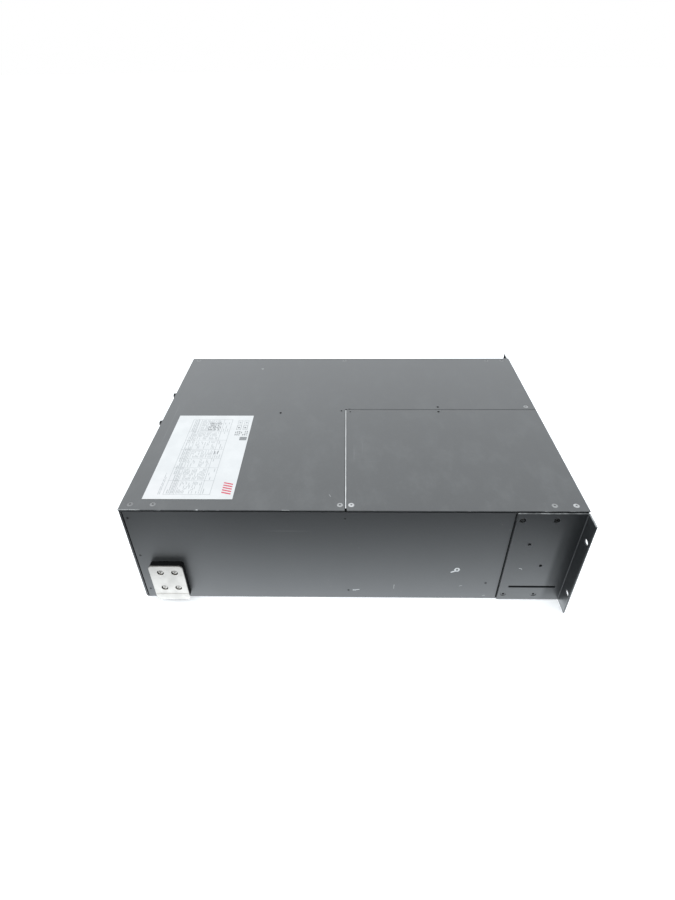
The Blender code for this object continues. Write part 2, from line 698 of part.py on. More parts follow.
def make_display():
    """The control module: housing, smoked lens, two sprung buttons and the board behind them."""
    inset = 4 * MM
    housing = block("display_housing", DISPLAY_X, (DISPLAY_FACE, FRONT_FACE), DISPLAY_Z, BLACK_PLASTIC)
    neck = block(
        "display_neck",
        (DISPLAY_X[0] + inset, DISPLAY_X[1] - inset),
        (FRONT_FACE - MM, FRONT + 13 * MM),
        (DISPLAY_Z[0] + inset, DISPLAY_Z[1] - inset),
    )
    fuse(housing, neck)
    lens_seat = DISPLAY_FACE + 1.8 * MM
    cut(housing, block("lens_seat", LENS_X, (DISPLAY_FACE - MM, lens_seat), LENS_Z))
    block(
        "indicator_lens",
        (LENS_X[0] + GAP, LENS_X[1] - GAP),
        (DISPLAY_FACE + 0.1 * MM, lens_seat - GAP),
        (LENS_Z[0] + GAP, LENS_Z[1] - GAP),
        SMOKED_LENS,
    )
    board = block(
        "display_board",
        (DISPLAY_X[0] + 6 * MM, DISPLAY_X[1] - 6 * MM),
        (FRONT + BOARD_BACK, FRONT + BOARD_BACK + 1.6 * MM),
        (DISPLAY_Z[0] + 6 * MM, DISPLAY_Z[1] - 6 * MM),
        BOARD,
    )
    for which, z in BUTTON_Z.items():
        hole_size = BUTTON_SIZE + 2 * BUTTON_CLEARANCE
        hole = flat(
            f"{which}_hole",
            [rectangle((BUTTON_X, z), (hole_size, hole_size), 2.4 * MM)],
            FACING,
            (0, FRONT, 0),
            60 * MM,
        )
        cut(housing, hole)
        cap = (DISPLAY_FACE - 2 * MM, FRONT + 11.5 * MM)
        flat(
            f"{which}_button",
            [rectangle((BUTTON_X, z), (BUTTON_SIZE, BUTTON_SIZE), 2 * MM)],
            FACING,
            (0, (cap[0] + cap[1]) / 2, 0),
            cap[1] - cap[0],
            BUTTON_PLASTIC,
        )
        switch = block(
            f"{which}_switch",
            span(BUTTON_X, 6 * MM),
            (FRONT + BOARD_BACK - 2.5 * MM, FRONT + BOARD_BACK + 0.5 * MM),
            span(z, 6 * MM),
        )
        fuse(board, switch)


# ---------------------------------------------------------------- rack ears and rail plates

EAR_PLATE = 2 * MM
EAR_Z = (0.8 * MM, 172 * MM)
EAR_LENGTH = 92 * MM
RACK_HOLES_Z = tuple(85.5 * MM + side * RACK_HOLE_SPACING_Z / 2 for side in (-1, 1))


def make_ear(side, sign):
    """An angle of thick sheet: its long leg screws to the casing, its short leg to the rack."""
    inner = SIDE_OUT + GAP
    outer = inner + EAR_PLATE
    back = FRONT + EAR_PLATE
    bend = 3 * MM
    tip = RACK_WIDTH / 2
    outline = [
        (inner, FRONT + EAR_LENGTH),
        *arc((inner + bend, FRONT + bend), bend, 180, 270, 4),
        (tip, FRONT),
        (tip, back),
        *arc((outer + MM, back + MM), MM, 270, 180, 2),
        (outer, FRONT + EAR_LENGTH),
    ]
    if sign < 0:
        outline = [(-x, y) for x, y in reversed(outline)]
    height = EAR_Z[1] - EAR_Z[0]
    middle = (0, 0, (EAR_Z[0] + EAR_Z[1]) / 2)
    ear = flat(f"{side}_rack_ear", [outline], LYING, middle, height, BLACK_PAINT)
    for number, z in enumerate(RACK_HOLES_Z):
        centre = (sign * RACK_HOLE_SPACING_X / 2, z)
        slot = rectangle(centre, (10 * MM, 7 * MM), 3.49 * MM, 5)
        cut(ear, flat(f"{side}_rack_slot_{number}", [slot], FACING, (0, FRONT, 0), 12 * MM))
    through = tuple(sorted((sign * (inner - MM), sign * (outer + MM))))
    slit_length = (FRONT + 12 * MM, FRONT + 79 * MM)
    cut(ear, block(f"{side}_slit", through, slit_length, span(29 * MM, 2.4 * MM)))
    screw_places = [(FRONT + y * MM, z * MM) for y in (40, 84) for z in (12.6, 160)]
    spare_places = [(FRONT + 66.4 * MM, 116 * MM), (FRONT + 42.6 * MM, 73.8 * MM)]
    for number, place in enumerate(screw_places + spare_places):
        radius = 4 * MM if place in screw_places else 2.2 * MM
        cut(ear, round_bar(f"{side}_ear_hole_{number}", radius, place, through, sides=16, axis="X"))
    return ear


RAIL_PLATE_Y, RAIL_PLATE_Z = (236 * MM, 284 * MM), (7.5 * MM, 77.3 * MM)
RAIL_OUT = HALF_BODY + 10.3 * MM
RAIL_SCREWS = [(y * MM, z * MM) for y in (248.6, 268.5) for z in (33, 64.8)]
RAIL_SCREW_HOLE = 4.7 * MM


def make_rail_plate(side, sign):
    """A zinc-plated plate on a black spacer that steadies the rear of the unit in its rails."""
    plate_in = RAIL_OUT - 2.3 * MM
    centre = (sum(RAIL_PLATE_Y) / 2, sum(RAIL_PLATE_Z) / 2)
    size = (RAIL_PLATE_Y[1] - RAIL_PLATE_Y[0], RAIL_PLATE_Z[1] - RAIL_PLATE_Z[0])
    holes = [circle(place, RAIL_SCREW_HOLE, 16) for place in RAIL_SCREWS]
    outline = rectangle(centre, size, 5 * MM, 4)
    middle = sign * (plate_in + RAIL_OUT) / 2
    thick = RAIL_OUT - plate_in
    flat(f"{side}_rail_plate", [outline, *holes], SIDEWAYS, (middle, 0, 0), thick, ZINC)
    spacer_in, spacer_out = SIDE_OUT + GAP, plate_in - GAP
    inset = MM
    spacer = rectangle(centre, (size[0] - inset, size[1] - inset), 4.5 * MM, 4)
    middle = sign * (spacer_in + spacer_out) / 2
    thick = spacer_out - spacer_in
    flat(f"{side}_rail_spacer", [spacer], SIDEWAYS, (middle, 0, 0), thick, BLACK_PLASTIC)


# ---------------------------------------------------------------- battery tray

TRAY_X = (-202 * MM, 17 * MM)
TRAY_BACK = 1.5 * MM
TRAY_FLOOR = 2.2 * MM
BATTERY_SIZE = (181 * MM, 75.4 * MM, 152 * MM)
BATTERY_X = (TRAY_X[0] + 1.9 * MM, TRAY_X[0] + 1.9 * MM + BATTERY_SIZE[0])
HANDLE_X, HANDLE_Z = -92.2 * MM, 86 * MM
HANDLE_SPAN, HANDLE_REACH, HANDLE_RADIUS = 124 * MM, 30 * MM, 4 * MM


def make_tray():
    """A sliding sheet-metal tray whose front plate closes the battery bay."""
    plate_back = FRONT + SHEET
    tray_low, side_high, back_high = TRAY_FLOOR, 40 * MM, 92 * MM
    floor = tray_low + SHEET
    front_x = (-SIDE_OUT + 1.2 * MM, BAY_RIGHT + 1.6 * MM)
    front_z = (0.8 * MM, PANEL_TOP - 0.2 * MM)
    tray = block("battery_tray", front_x, (FRONT, plate_back), front_z, BLACK_PAINT)
    trough = block("trough", TRAY_X, (plate_back - MM, TRAY_BACK), (tray_low, side_high))
    back_z = (tray_low + SHEET / 2, back_high)
    back_wall = block("back_wall", TRAY_X, (TRAY_BACK - SHEET, TRAY_BACK), back_z)
    fuse(tray, trough, back_wall)
    hollow = block(
        "trough_hollow",
        (TRAY_X[0] + SHEET, TRAY_X[1] - SHEET),
        (plate_back, TRAY_BACK - SHEET),
        (floor, back_high + MM),
    )
    connector_way = block(
        "tray_connector_way",
        (CONNECTOR_X[0] - GAP, CONNECTOR_X[1] + GAP),
        span(TRAY_BACK, 8 * MM),
        (CONNECTOR_Z[0] - GAP, CONNECTOR_Z[1] + GAP),
    )
    cut(tray, hollow, connector_way)
    through = span(FRONT, 8 * MM)
    head = (FRONT_FACE - 9 * MM, FRONT_FACE)
    for number, x in enumerate(TRAY_SCREW_X, start=1):
        place = (x, TRAY_SCREW_Z)
        cut(tray, round_bar(f"tray_screw_way_{number}", SCREW_HOLE, place, through, sides=16))
        make_thumbscrew(f"tray_screw_{number}", place, head, FRONT + 7 * MM, ZINC)
    connector_y = (TRAY_BACK - 26 * MM, BAY_BACK - 2.1 * MM)
    block("tray_connector", CONNECTOR_X, connector_y, CONNECTOR_Z, GREY_PLASTIC)


def make_batteries(count=4):
    """A row of sealed lead-acid blocks across the tray, each with two terminal posts."""
    width, depth, height = BATTERY_SIZE
    base = TRAY_FLOOR + SHEET + GAP
    for number in range(count):
        start = FRONT + SHEET + GAP + number * (depth + GAP)
        name = f"battery_{number + 1}"
        battery = block(name, BATTERY_X, (start, start + depth), (base, base + height), BATTERY_CASE)
        for pole, x in enumerate((BATTERY_X[0] + 15 * MM, BATTERY_X[1] - 15 * MM)):
            post = block(
                f"{name}_post_{pole}",
                span(x, 12 * MM),
                span(start + 16 * MM, 12 * MM),
                (base + height - MM, base + height + 7 * MM),
            )
            fuse(battery, post)


def make_handle():
    """A bent round bar across the tray's front."""
    bend = 11 * MM
    half = HANDLE_SPAN / 2
    out = FRONT_FACE - HANDLE_REACH
    left = arc((HANDLE_X - half + bend, out + bend), bend, 180, 270, 5)
    right = arc((HANDLE_X + half - bend, out + bend), bend, 270, 360, 5)
    run = [(HANDLE_X - half, FRONT_FACE), *left, *right, (HANDLE_X + half, FRONT_FACE)]
    return tube("tray_handle", [(x, y, HANDLE_Z) for x, y in run], HANDLE_RADIUS, BLACK_PAINT)


# ---------------------------------------------------------------- inside the casing

BOARD_TOP = 11 * MM


def make_transformer():
    """A laminated core with two windows, and the winding round its middle leg."""
    x, y = 122 * MM, -150 * MM
    width, height, depth, leg = 150 * MM, 125 * MM, 80 * MM, 50 * MM
    window = (25 * MM, 75 * MM)
    low = SHEET + GAP
    middle = low + height / 2
    holes = [
        rectangle((x + side * (leg + window[0]) / 2, middle), window) for side in (-1, 1)
    ]
    edge = rectangle((x, middle), (width, height))
    flat("transformer_core", [edge, *holes], FACING, (0, y, 0), depth, CORE_STEEL)
    clear = 0.5 * MM
    build_up = window[0] - 2 * clear
    inner = (leg + 2 * clear, depth + 2 * clear)
    outer = (inner[0] + 2 * build_up, inner[1] + 2 * build_up)
    ring = [rectangle((x, y), outer, 12 * MM, 4), rectangle((x, y), inner, MM, 1)]
    flat("transformer_winding", ring, LYING, (0, 0, middle), window[1] - 2 * clear, WINDING_TAPE)


def make_power_board():
    under = 9 * MM
    board = block("power_board", (-207 * MM, 205 * MM), (24 * MM, 270 * MM), (under, BOARD_TOP), BOARD)
    post_span = (SHEET + GAP, under + 0.5 * MM)
    for row, y in enumerate((34 * MM, 260 * MM)):
        for column, x in enumerate((-198 * MM, 0, 196 * MM)):
            name = f"standoff_{row}_{column}"
            fuse(board, round_bar(name, 3 * MM, (x, y), post_span, sides=8, axis="Z"))
    return board


def make_heatsink(side, left):
    """An aluminium extrusion with upright fins, running with the air towards the fan."""
    width, fins, thick = 75 * MM, 8, 2.5 * MM
    base, top = BOARD_TOP + GAP + 7 * MM, 90 * MM
    pitch = (width - thick) / (fins - 1)
    comb = [(left + width, BOARD_TOP + GAP), (left + width, top)]
    for fin in reversed(range(fins)):
        start = left + fin * pitch
        comb += [(start, top)]
        if fin:
            comb += [(start, base), (start - pitch + thick, base), (start - pitch + thick, top)]
    comb += [(left, BOARD_TOP + GAP)]
    flat(f"heatsink_{side}", [comb], FACING, (0, 150 * MM, 0), 180 * MM, ALUMINIUM)


def make_battery_cable():
    """The lead from the bay's connector down to the power board."""
    start, end = (-1 * MM, 36.5 * MM, 65 * MM), (-1 * MM, 84 * MM, BOARD_TOP + GAP)
    first_bend, bend = 50 * MM, 34 * MM
    quarter = arc((first_bend, start[2] - bend), bend, 90, 0, 8)
    points = [start] + [(start[0], y, z) for y, z in quarter] + [end]
    tube("battery_cable", points, 5 * MM, CABLE_RUBBER)


def make_electronics():
    make_transformer()
    make_power_board()
    make_heatsink("left", -200 * MM)
    make_heatsink("right", -112 * MM)
    for number, x in enumerate((40 * MM, 95 * MM), start=1):
        span_z = (BOARD_TOP + GAP, 96 * MM)
        round_bar(f"bus_capacitor_{number}", 22 * MM, (x, 120 * MM), span_z, CAPACITOR_SLEEVE, axis="Z")
    block("bay_connector", CONNECTOR_X, (BAY_BACK - 1.7 * MM, 36 * MM), CONNECTOR_Z, GREY_PLASTIC)
    make_battery_cable()


def make_label():
    """The rating label on the rear half of the top cover."""
    block(
        "rating_label",
        (-195.3 * MM, 9.6 * MM),
        (158.8 * MM, 279.6 * MM),
        (BODY_HEIGHT + 0.15 * MM, BODY_HEIGHT + 0.4 * MM),
        LABEL_FILM,
    )


make_case()
make_covers()
make_bay_divider()
make_rear_panel()
make_sockets()
make_battery_port()
make_serial_port()
make_usb_port()
make_breakers()
make_ground_stud()
make_accessory_slot()
for fan_side, fan_x in FAN_X.items():
    make_fan(fan_side, fan_x)
make_front_panel()
make_display()
for ear_side, ear_sign in (("left", -1), ("right", 1)):
    make_ear(ear_side, ear_sign)
    make_rail_plate(ear_side, ear_sign)
make_tray()
make_batteries()
make_handle()
make_electronics()
make_label()
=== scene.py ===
"""The looks of the rackmount UPS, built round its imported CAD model.

Metres, +Z up, front at -Y. Every mesh is made in the row frame with its object at the origin, so a
material's object coordinates are places on the whole UPS.
"""

import math
import random

import bmesh
import bpy
from mathutils import Matrix, Vector
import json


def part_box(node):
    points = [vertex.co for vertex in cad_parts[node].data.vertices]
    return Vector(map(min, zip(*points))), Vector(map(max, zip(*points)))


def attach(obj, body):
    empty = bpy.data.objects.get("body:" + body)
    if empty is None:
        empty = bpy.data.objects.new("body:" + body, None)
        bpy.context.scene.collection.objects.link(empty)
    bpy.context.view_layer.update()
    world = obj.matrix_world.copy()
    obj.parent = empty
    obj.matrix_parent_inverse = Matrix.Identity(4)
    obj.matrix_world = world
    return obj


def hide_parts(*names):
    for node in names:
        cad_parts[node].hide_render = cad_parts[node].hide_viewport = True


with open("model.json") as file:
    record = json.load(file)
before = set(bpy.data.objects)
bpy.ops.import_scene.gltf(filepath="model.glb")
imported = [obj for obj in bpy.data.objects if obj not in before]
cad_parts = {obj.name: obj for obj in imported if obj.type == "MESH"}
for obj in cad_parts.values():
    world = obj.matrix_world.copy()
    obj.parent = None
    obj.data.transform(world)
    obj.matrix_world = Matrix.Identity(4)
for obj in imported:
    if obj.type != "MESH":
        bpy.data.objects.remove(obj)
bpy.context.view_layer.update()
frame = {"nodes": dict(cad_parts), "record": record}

MM = 0.001
CHASSIS, DRAWER = "chassis", "battery_drawer"
BODY_OF = {node: body for body, nodes in frame["record"]["behaviour"]["bodies"].items() for node in nodes}
SLOT_OF = {entry["node"]: entry["material_slot"] for entry in frame["record"]["subparts"]}

# Faces of the casing, from the CAD model.
_, CASE_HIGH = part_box("case")
COVER_LOW, COVER_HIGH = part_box("top_cover")
TOP = COVER_HIGH.z
SIDE = CASE_HIGH.x
FRONT, REAR = COVER_LOW.y, COVER_HIGH.y


# ---------------------------------------------------------------- camera, light and floor


def make_camera():
    """Stands left of the middle, looks along +X and 36 degrees down."""
    pitch, yaw, roll = math.radians(36.32), math.radians(1.11), math.radians(-0.55)
    forward = Vector((math.cos(pitch) * math.cos(yaw), math.cos(pitch) * math.sin(yaw), -math.sin(pitch)))
    level = forward.cross(Vector((0, 0, 1))).normalized()
    above = level.cross(forward)
    right = math.cos(roll) * level + math.sin(roll) * above
    up = -math.sin(roll) * level + math.cos(roll) * above
    data = bpy.data.cameras.new("camera")
    data.sensor_width = 36
    data.lens = 21.32
    data.clip_start, data.clip_end = 0.01, 50
    camera = bpy.data.objects.new("camera", data)
    turn = Matrix((right, up, -forward)).transposed().to_4x4()
    camera.matrix_world = Matrix.Translation((-0.7235, 0.0085, 0.6451)) @ turn
    bpy.context.scene.collection.objects.link(camera)
    bpy.context.scene.camera = camera


class Shader:
    """One material's or the world's node tree, built with short calls. Sockets are passed as outputs."""

    def __init__(self, owner):
        self.owner = owner
        owner.use_nodes = True
        self.tree = owner.node_tree
        self.tree.nodes.clear()

    def add(self, kind, settings=None, **sockets):
        made = self.tree.nodes.new(kind)
        for name, value in (settings or {}).items():
            setattr(made, name, value)
        for name, value in sockets.items():
            self.set(made.inputs[name.replace("_", " ")], value)
        return made

    def set(self, socket, value):
        if isinstance(value, bpy.types.NodeSocket):
            self.tree.links.new(value, socket)
        else:
            socket.default_value = value

    def math(self, operation, *values):
        made = self.add("ShaderNodeMath", {"operation": operation})
        for socket, value in zip(made.inputs, values):
            self.set(socket, value)
        return made.outputs[0]

    def times(self, first, second):
        return self.math("MULTIPLY", first, second)

    def vector(self, operation, *values):
        made = self.add("ShaderNodeVectorMath", {"operation": operation})
        for socket, value in zip(made.inputs, values):
            self.set(socket, value)
        return made.outputs["Value" if operation in ("LENGTH", "DOT_PRODUCT") else "Vector"]

    def scaled(self, vector, factor):
        made = self.add("ShaderNodeVectorMath", {"operation": "SCALE"})
        self.set(made.inputs[0], vector)
        self.set(made.inputs["Scale"], factor)
        return made.outputs["Vector"]

    def step(self, value, low, high, to_low=0.0, to_high=1.0):
        """value taken smoothly from low..high to to_low..to_high, and held beyond them."""
        settings = {"interpolation_type": "SMOOTHSTEP"}
        ends = {"From_Min": low, "From_Max": high, "To_Min": to_low, "To_Max": to_high}
        return self.add("ShaderNodeMapRange", settings, Value=value, **ends).outputs["Result"]

    def mix(self, factor, first, second):
        """Colours mixed by a factor."""
        made = self.add("ShaderNodeMix", {"data_type": "RGBA"})
        self.set(made.inputs["Factor"], factor)
        self.set(made.inputs["A"], first if isinstance(first, bpy.types.NodeSocket) else (*first, 1))
        self.set(made.inputs["B"], second if isinstance(second, bpy.types.NodeSocket) else (*second, 1))
        return made.outputs["Result"]

    def place(self, scale=(1, 1, 1), turn=(0, 0, 0)):
        """Object coordinates, in metres, stretched by scale."""
        coordinates = self.add("ShaderNodeTexCoord").outputs["Object"]
        if scale == (1, 1, 1) and turn == (0, 0, 0):
            return coordinates
        made = self.add("ShaderNodeMapping", Vector=coordinates, Scale=scale, Rotation=turn)
        return made.outputs["Vector"]

    def noise(self, scale, detail=2.0, roughness=0.5, stretch=(1, 1, 1), turn=(0, 0, 0)):
        place = self.place(stretch, turn)
        made = self.add("ShaderNodeTexNoise", Vector=place, Scale=scale, Detail=detail, Roughness=roughness)
        return made.outputs["Fac"]

    def cells(self, scale, feature="F1", output="Distance", stretch=(1, 1, 1)):
        made = self.add("ShaderNodeTexVoronoi", {"feature": feature}, Vector=self.place(stretch), Scale=scale)
        return made.outputs[output]

    def bump(self, height, strength, distance, normal=None):
        made = self.add("ShaderNodeBump", Height=height, Strength=strength, Distance=distance)
        if normal is not None:
            self.set(made.inputs["Normal"], normal)
        return made.outputs["Normal"]

    def axes(self):
        """The object coordinates' x, y and z."""
        made = self.add("ShaderNodeSeparateXYZ", Vector=self.place())
        return made.outputs["X"], made.outputs["Y"], made.outputs["Z"]

    def emission(self, colour, strength):
        light = self.add("ShaderNodeEmission", Color=(*colour, 1), Strength=strength)
        self.add("ShaderNodeOutputMaterial", Surface=light.outputs[0])


def make_world():
    """A white dome, brightest half way up and towards the rear."""
    world = bpy.data.worlds.new("dome")
    bpy.context.scene.world = world
    shader = Shader(world)
    direction = shader.add("ShaderNodeTexCoord").outputs["Generated"]
    split = shader.add("ShaderNodeSeparateXYZ", Vector=direction)
    height = shader.step(split.outputs["Z"], 0.0, 0.75, 1.0, 1.95)
    rearward = shader.math("MULTIPLY_ADD", split.outputs["Y"], 0.27, 1.0)
    strength = shader.times(height, rearward)
    background = shader.add("ShaderNodeBackground", Color=(0.945, 0.985, 1.015, 1), Strength=strength)
    output = shader.add("ShaderNodeOutputWorld")
    shader.tree.links.new(background.outputs[0], output.inputs["Surface"])


def stage_object(name, work):
    """An object round the UPS that isn't part of it."""
    mesh = bpy.data.meshes.new(name)
    work.to_mesh(mesh)
    work.free()
    made = bpy.data.objects.new(name, mesh)
    bpy.context.scene.collection.objects.link(made)
    return made


def disc(name, radius, height):
    work = bmesh.new()
    bmesh.ops.create_circle(work, cap_ends=True, segments=64, radius=radius)
    bmesh.ops.translate(work, verts=work.verts, vec=(0, 0, height))
    return stage_object(name, work)


FLOOR_RADIUS, BOUNCE_RADIUS = 40, 6
BACKDROP_RADIUS = 39
# The thrown light beside the casing, and how much of it is lost a hand's width away.
BOUNCE_GLOW, BOUNCE_LOSS, HAND_WIDTH = 2.25, 2.3, 0.22


def make_floor():
    """A white floor that the camera sees, and under it the light that it throws up at the casing.

    The thrown light is strongest beside the casing and fades a hand's width away from it.
    """
    floor = disc("floor", FLOOR_RADIUS, -0.4 * MM)
    floor.visible_diffuse = floor.visible_glossy = False
    shader = new_material("floor_white", floor)
    glow = {"Emission_Color": (1, 1, 1, 1), "Emission_Strength": 0.3}
    finish_material(shader, (0.86, 0.87, 0.88), 0.9, Specular_IOR_Level=0.2, **glow)

    bounce = disc("bounce_light", BOUNCE_RADIUS, -0.6 * MM)
    bounce.visible_camera = bounce.visible_shadow = False
    shader = new_material("bounce_glow", bounce)
    x, y, _ = shader.axes()
    past_side = shader.math("MAXIMUM", shader.math("SUBTRACT", shader.math("ABSOLUTE", x), SIDE), 0.0)
    past_end = shader.math("MAXIMUM", shader.math("SUBTRACT", shader.math("ABSOLUTE", y), REAR), 0.0)
    squares = [shader.math("POWER", past, 2.0) for past in (past_side, past_end)]
    away = shader.math("POWER", shader.math("ADD", *squares), 0.5)
    fade = shader.math("DIVIDE", away, HAND_WIDTH)
    glow = shader.math("MULTIPLY_ADD", fade, -BOUNCE_LOSS, BOUNCE_GLOW)
    shader.emission((0.94, 1.0, 1.05), shader.math("MAXIMUM", glow, 0.03))


def make_backdrop():
    """A white cyclorama round everything, which only the camera sees."""
    work = bmesh.new()
    bmesh.ops.create_uvsphere(work, u_segments=48, v_segments=24, radius=BACKDROP_RADIUS)
    made = stage_object("backdrop", work)
    made.visible_diffuse = made.visible_glossy = made.visible_shadow = False
    new_material("backdrop_white", made).emission((1, 1, 1), 1.0)


def new_material(name, owner=None):
    """A new material's node tree, ready to be filled."""
    made = bpy.data.materials.new(name)
    if owner is not None:
        owner.data.materials.append(made)
    return Shader(made)


# ---------------------------------------------------------------- materials


def finish_material(shader, colour, roughness, normal=None, **others):
    """Ends a node tree with a Principled surface, and returns the material. others holds its other inputs."""
    if not isinstance(colour, bpy.types.NodeSocket):
        colour = (*colour, 1)
    if normal is not None:
        others["Normal"] = normal
    surface = shader.add("ShaderNodeBsdfPrincipled", Base_Color=colour, Roughness=roughness, **others)
    shader.add("ShaderNodeOutputMaterial", Surface=surface.outputs[0])
    return shader.owner


def near_segment(shader, place, start, end, width, fade):
    """1 on a line between two places, and 0 beyond width + fade from it."""
    along = Vector(end) - Vector(start)
    offset = shader.vector("SUBTRACT", place, tuple(start))
    share = shader.vector("DOT_PRODUCT", offset, tuple(along / max(along.length_squared, 1e-12)))
    share = shader.math("MAXIMUM", shader.math("MINIMUM", share, 1.0), 0.0)
    nearest = shader.scaled(tuple(along), share)
    distance = shader.vector("LENGTH", shader.vector("SUBTRACT", offset, nearest))
    return shader.step(distance, width, width + fade, 1.0, 0.0)


def strongest(shader, masks):
    total = masks[0]
    for mask in masks[1:]:
        total = shader.math("MAXIMUM", total, mask)
    return total


def settled_dust(shader, smudge, dust, haze):
    """The share of dust over the paint: on level faces, thinner where it was wiped."""
    fine = shader.noise(420, 2.0, 0.5)
    facing = shader.add("ShaderNodeNewGeometry").outputs["Normal"]
    up = shader.add("ShaderNodeSeparateXYZ", Vector=facing).outputs["Z"]
    level, wiped = shader.step(up, 0.55, 0.95, 0.06, 1.0), shader.step(smudge, 0.42, 0.75, 0.15, 1.0)
    specks = shader.times(shader.step(fine, 0.6, 0.78), 0.5)
    dusty = shader.times(shader.math("ADD", shader.times(level, wiped), specks), 0.075 * dust)
    return dusty if haze is None else shader.math("ADD", dusty, haze(shader))


def fine_scratches(shader):
    """Patches of hairline scratches, some along the object and some across it."""
    long_scratches = shader.noise(120, 1.0, 0.4, (1, 0.012, 1), (0, 0, 0.35))
    cross_scratches = shader.noise(150, 1.0, 0.4, (0.014, 1, 0.6), (0, 0, -0.22))
    long_lines = shader.step(long_scratches, 0.735, 0.75)
    cross_lines = shader.step(cross_scratches, 0.745, 0.76)
    patchy = shader.step(shader.noise(9, 2.0), 0.52, 0.66)
    return shader.times(strongest(shader, [long_lines, cross_lines]), patchy)


def ragged_marks(shader, marks):
    """Masks of chips with ragged outlines, one for each mark."""
    ragged = shader.add("ShaderNodeTexNoise", Vector=shader.place(), Scale=900.0)
    shifted = shader.vector("SUBTRACT", ragged.outputs["Color"], (0.5, 0.5, 0.5))
    place = shader.vector("ADD", shader.place(), shader.scaled(shifted, 1.6 * MM))
    masks = []
    for start, end, width, strength in marks:
        mask = near_segment(shader, place, Vector(start) * MM, Vector(end) * MM, width * MM, 0.35 * MM)
        masks.append(shader.times(mask, strength))
    return masks


def powder_coat(
    name, marks=(), edge_wear_and_highlight=None, dust=0.5, gloss=0.42, sheen=0.9, crease=None, haze=None, shade_share=None
):
    """Satin black powder coat: orange peel, handling smudges, faint scratches, dust and chips.

    marks lists (start, end, width, strength) of chips down to bare metal, in mm, and edge_wear_and_highlight
    is a function that returns a mask of pale edges: rubbed on the covers, a painted highlight along the ears'
    top edge. crease is the two ends of a pressed line, darkened with painted shade. haze returns extra dust,
    and dulled the share of the sheen that is left, dimmed as painted shade.
    """
    shader = new_material(name)
    blotch = shader.noise(5.5, 4.0, 0.6)
    smudge = shader.noise(17, 5.0, 0.65, (1, 1.6, 1))
    colour = shader.mix(shader.step(blotch, 0.3, 0.72), (0.0064, 0.0076, 0.0086), (0.0092, 0.0107, 0.0120))
    dusty = settled_dust(shader, smudge, dust, haze)
    colour = shader.mix(dusty, colour, (0.36, 0.37, 0.37))
    scratched = fine_scratches(shader)
    colour = shader.mix(shader.times(scratched, 0.045), colour, (0.4, 0.41, 0.42))
    if crease:
        # The pressed line is bumped in below, and its colour darkened towards black as painted shade in the
        # crease.
        line = near_segment(shader, shader.place(), *crease, 0.3 * MM, 1.2 * MM)
        colour = shader.mix(shader.times(line, 0.5), colour, (0.002, 0.002, 0.002))

    bare = ragged_marks(shader, marks)
    # The edge mask is rubbing on the covers, and a painted highlight along the ears' top edge.
    if edge_wear_and_highlight is not None:
        bare.append(edge_wear_and_highlight(shader))
    roughness = shader.math("MULTIPLY_ADD", smudge, 0.16, 0.33)
    roughness = shader.math("ADD", roughness, shader.times(dusty, 1.5))
    if bare:
        colour = shader.mix(strongest(shader, bare), colour, (0.56, 0.57, 0.57))
    peel = shader.noise(1100, 1.5, 0.4)
    ripple = shader.noise(14, 1.0, 0.3)
    normal = shader.bump(ripple, 0.25, 0.5 * MM)
    normal = shader.bump(peel, 0.16, 0.05 * MM, normal)
    normal = shader.bump(scratched, 0.2, -0.02 * MM, normal)
    if crease:
        normal = shader.bump(line, 0.6, -0.3 * MM, normal)
    # Less sheen where painted shade is given, as in the ears' fold.
    if shade_share is not None:
        sheen = shader.times(shade_share(shader), sheen)
    coat = {"Coat_Weight": sheen, "Coat_Roughness": gloss}
    return finish_material(shader, colour, roughness, normal, Specular_IOR_Level=0.5, **coat)


def bare_metal(name, bright, dull, roughness, grain=(1, 1, 1), spangle=0.0, tint=(1, 1, 1)):
    """Zinc, galvanised or plain steel and aluminium, with clouding and drawn grain."""
    shader = new_material(name)
    cloud = shader.noise(60, 4.0, 0.6)
    grainy = shader.noise(900, 2.0, 0.5, grain)
    light = tuple(bright * part for part in tint)
    dark = tuple(dull * part for part in tint)
    colour = shader.mix(shader.step(cloud, 0.3, 0.7), dark, light)
    if spangle:
        flake = shader.add("ShaderNodeSeparateColor", Color=shader.cells(160, output="Color")).outputs["Red"]
        colour = shader.mix(shader.times(flake, spangle), colour, dark)
    stain = shader.step(shader.noise(22, 5.0, 0.7), 0.56, 0.72, 0.0, 0.35)
    colour = shader.mix(stain, colour, tuple(0.55 * part for part in dark))
    rough = shader.math("MULTIPLY_ADD", grainy, 0.18, roughness - 0.09)
    normal = shader.bump(grainy, 0.25, 0.02 * MM)
    return finish_material(shader, colour, rough, normal, Metallic=1.0)


def moulded(name, colour, roughness=0.45, texture=0.25, wear=0.4):
    """Spark-textured moulded plastic, a little scuffed."""
    shader = new_material(name)
    grain = shader.noise(1700, 2.0, 0.6)
    scuff = shader.step(shader.noise(70, 5.0, 0.7), 0.55, 0.8)
    lighter = tuple(min(1.0, part * 1.3 + 0.012) for part in colour)
    mixed = shader.mix(shader.times(scuff, wear), colour, lighter)
    rough = shader.math("MULTIPLY_ADD", scuff, 0.14, roughness)
    return finish_material(shader, mixed, rough, shader.bump(grain, texture, 0.03 * MM))


def matt(name, colour):
    """Dull black foam, rubber and soot-black finishes."""
    shader = new_material(name)
    grain = shader.noise(800, 2.0, 0.6)
    mixed = shader.mix(grain, colour, tuple(1.6 * part for part in colour))
    return finish_material(shader, mixed, 0.9, shader.bump(grain, 0.4, 0.05 * MM), Specular_IOR_Level=0.12)


def tinted_lens():
    shader = new_material("smoked_lens")
    wipe = shader.noise(90, 4.0, 0.6, (1, 1, 0.4))
    colour = shader.mix(shader.step(wipe, 0.4, 0.7), (0.010, 0.012, 0.012), (0.016, 0.018, 0.019))
    rough = shader.math("MULTIPLY_ADD", wipe, 0.10, 0.03)
    return finish_material(shader, colour, rough, Coat_Weight=1.0, Coat_Roughness=0.04)


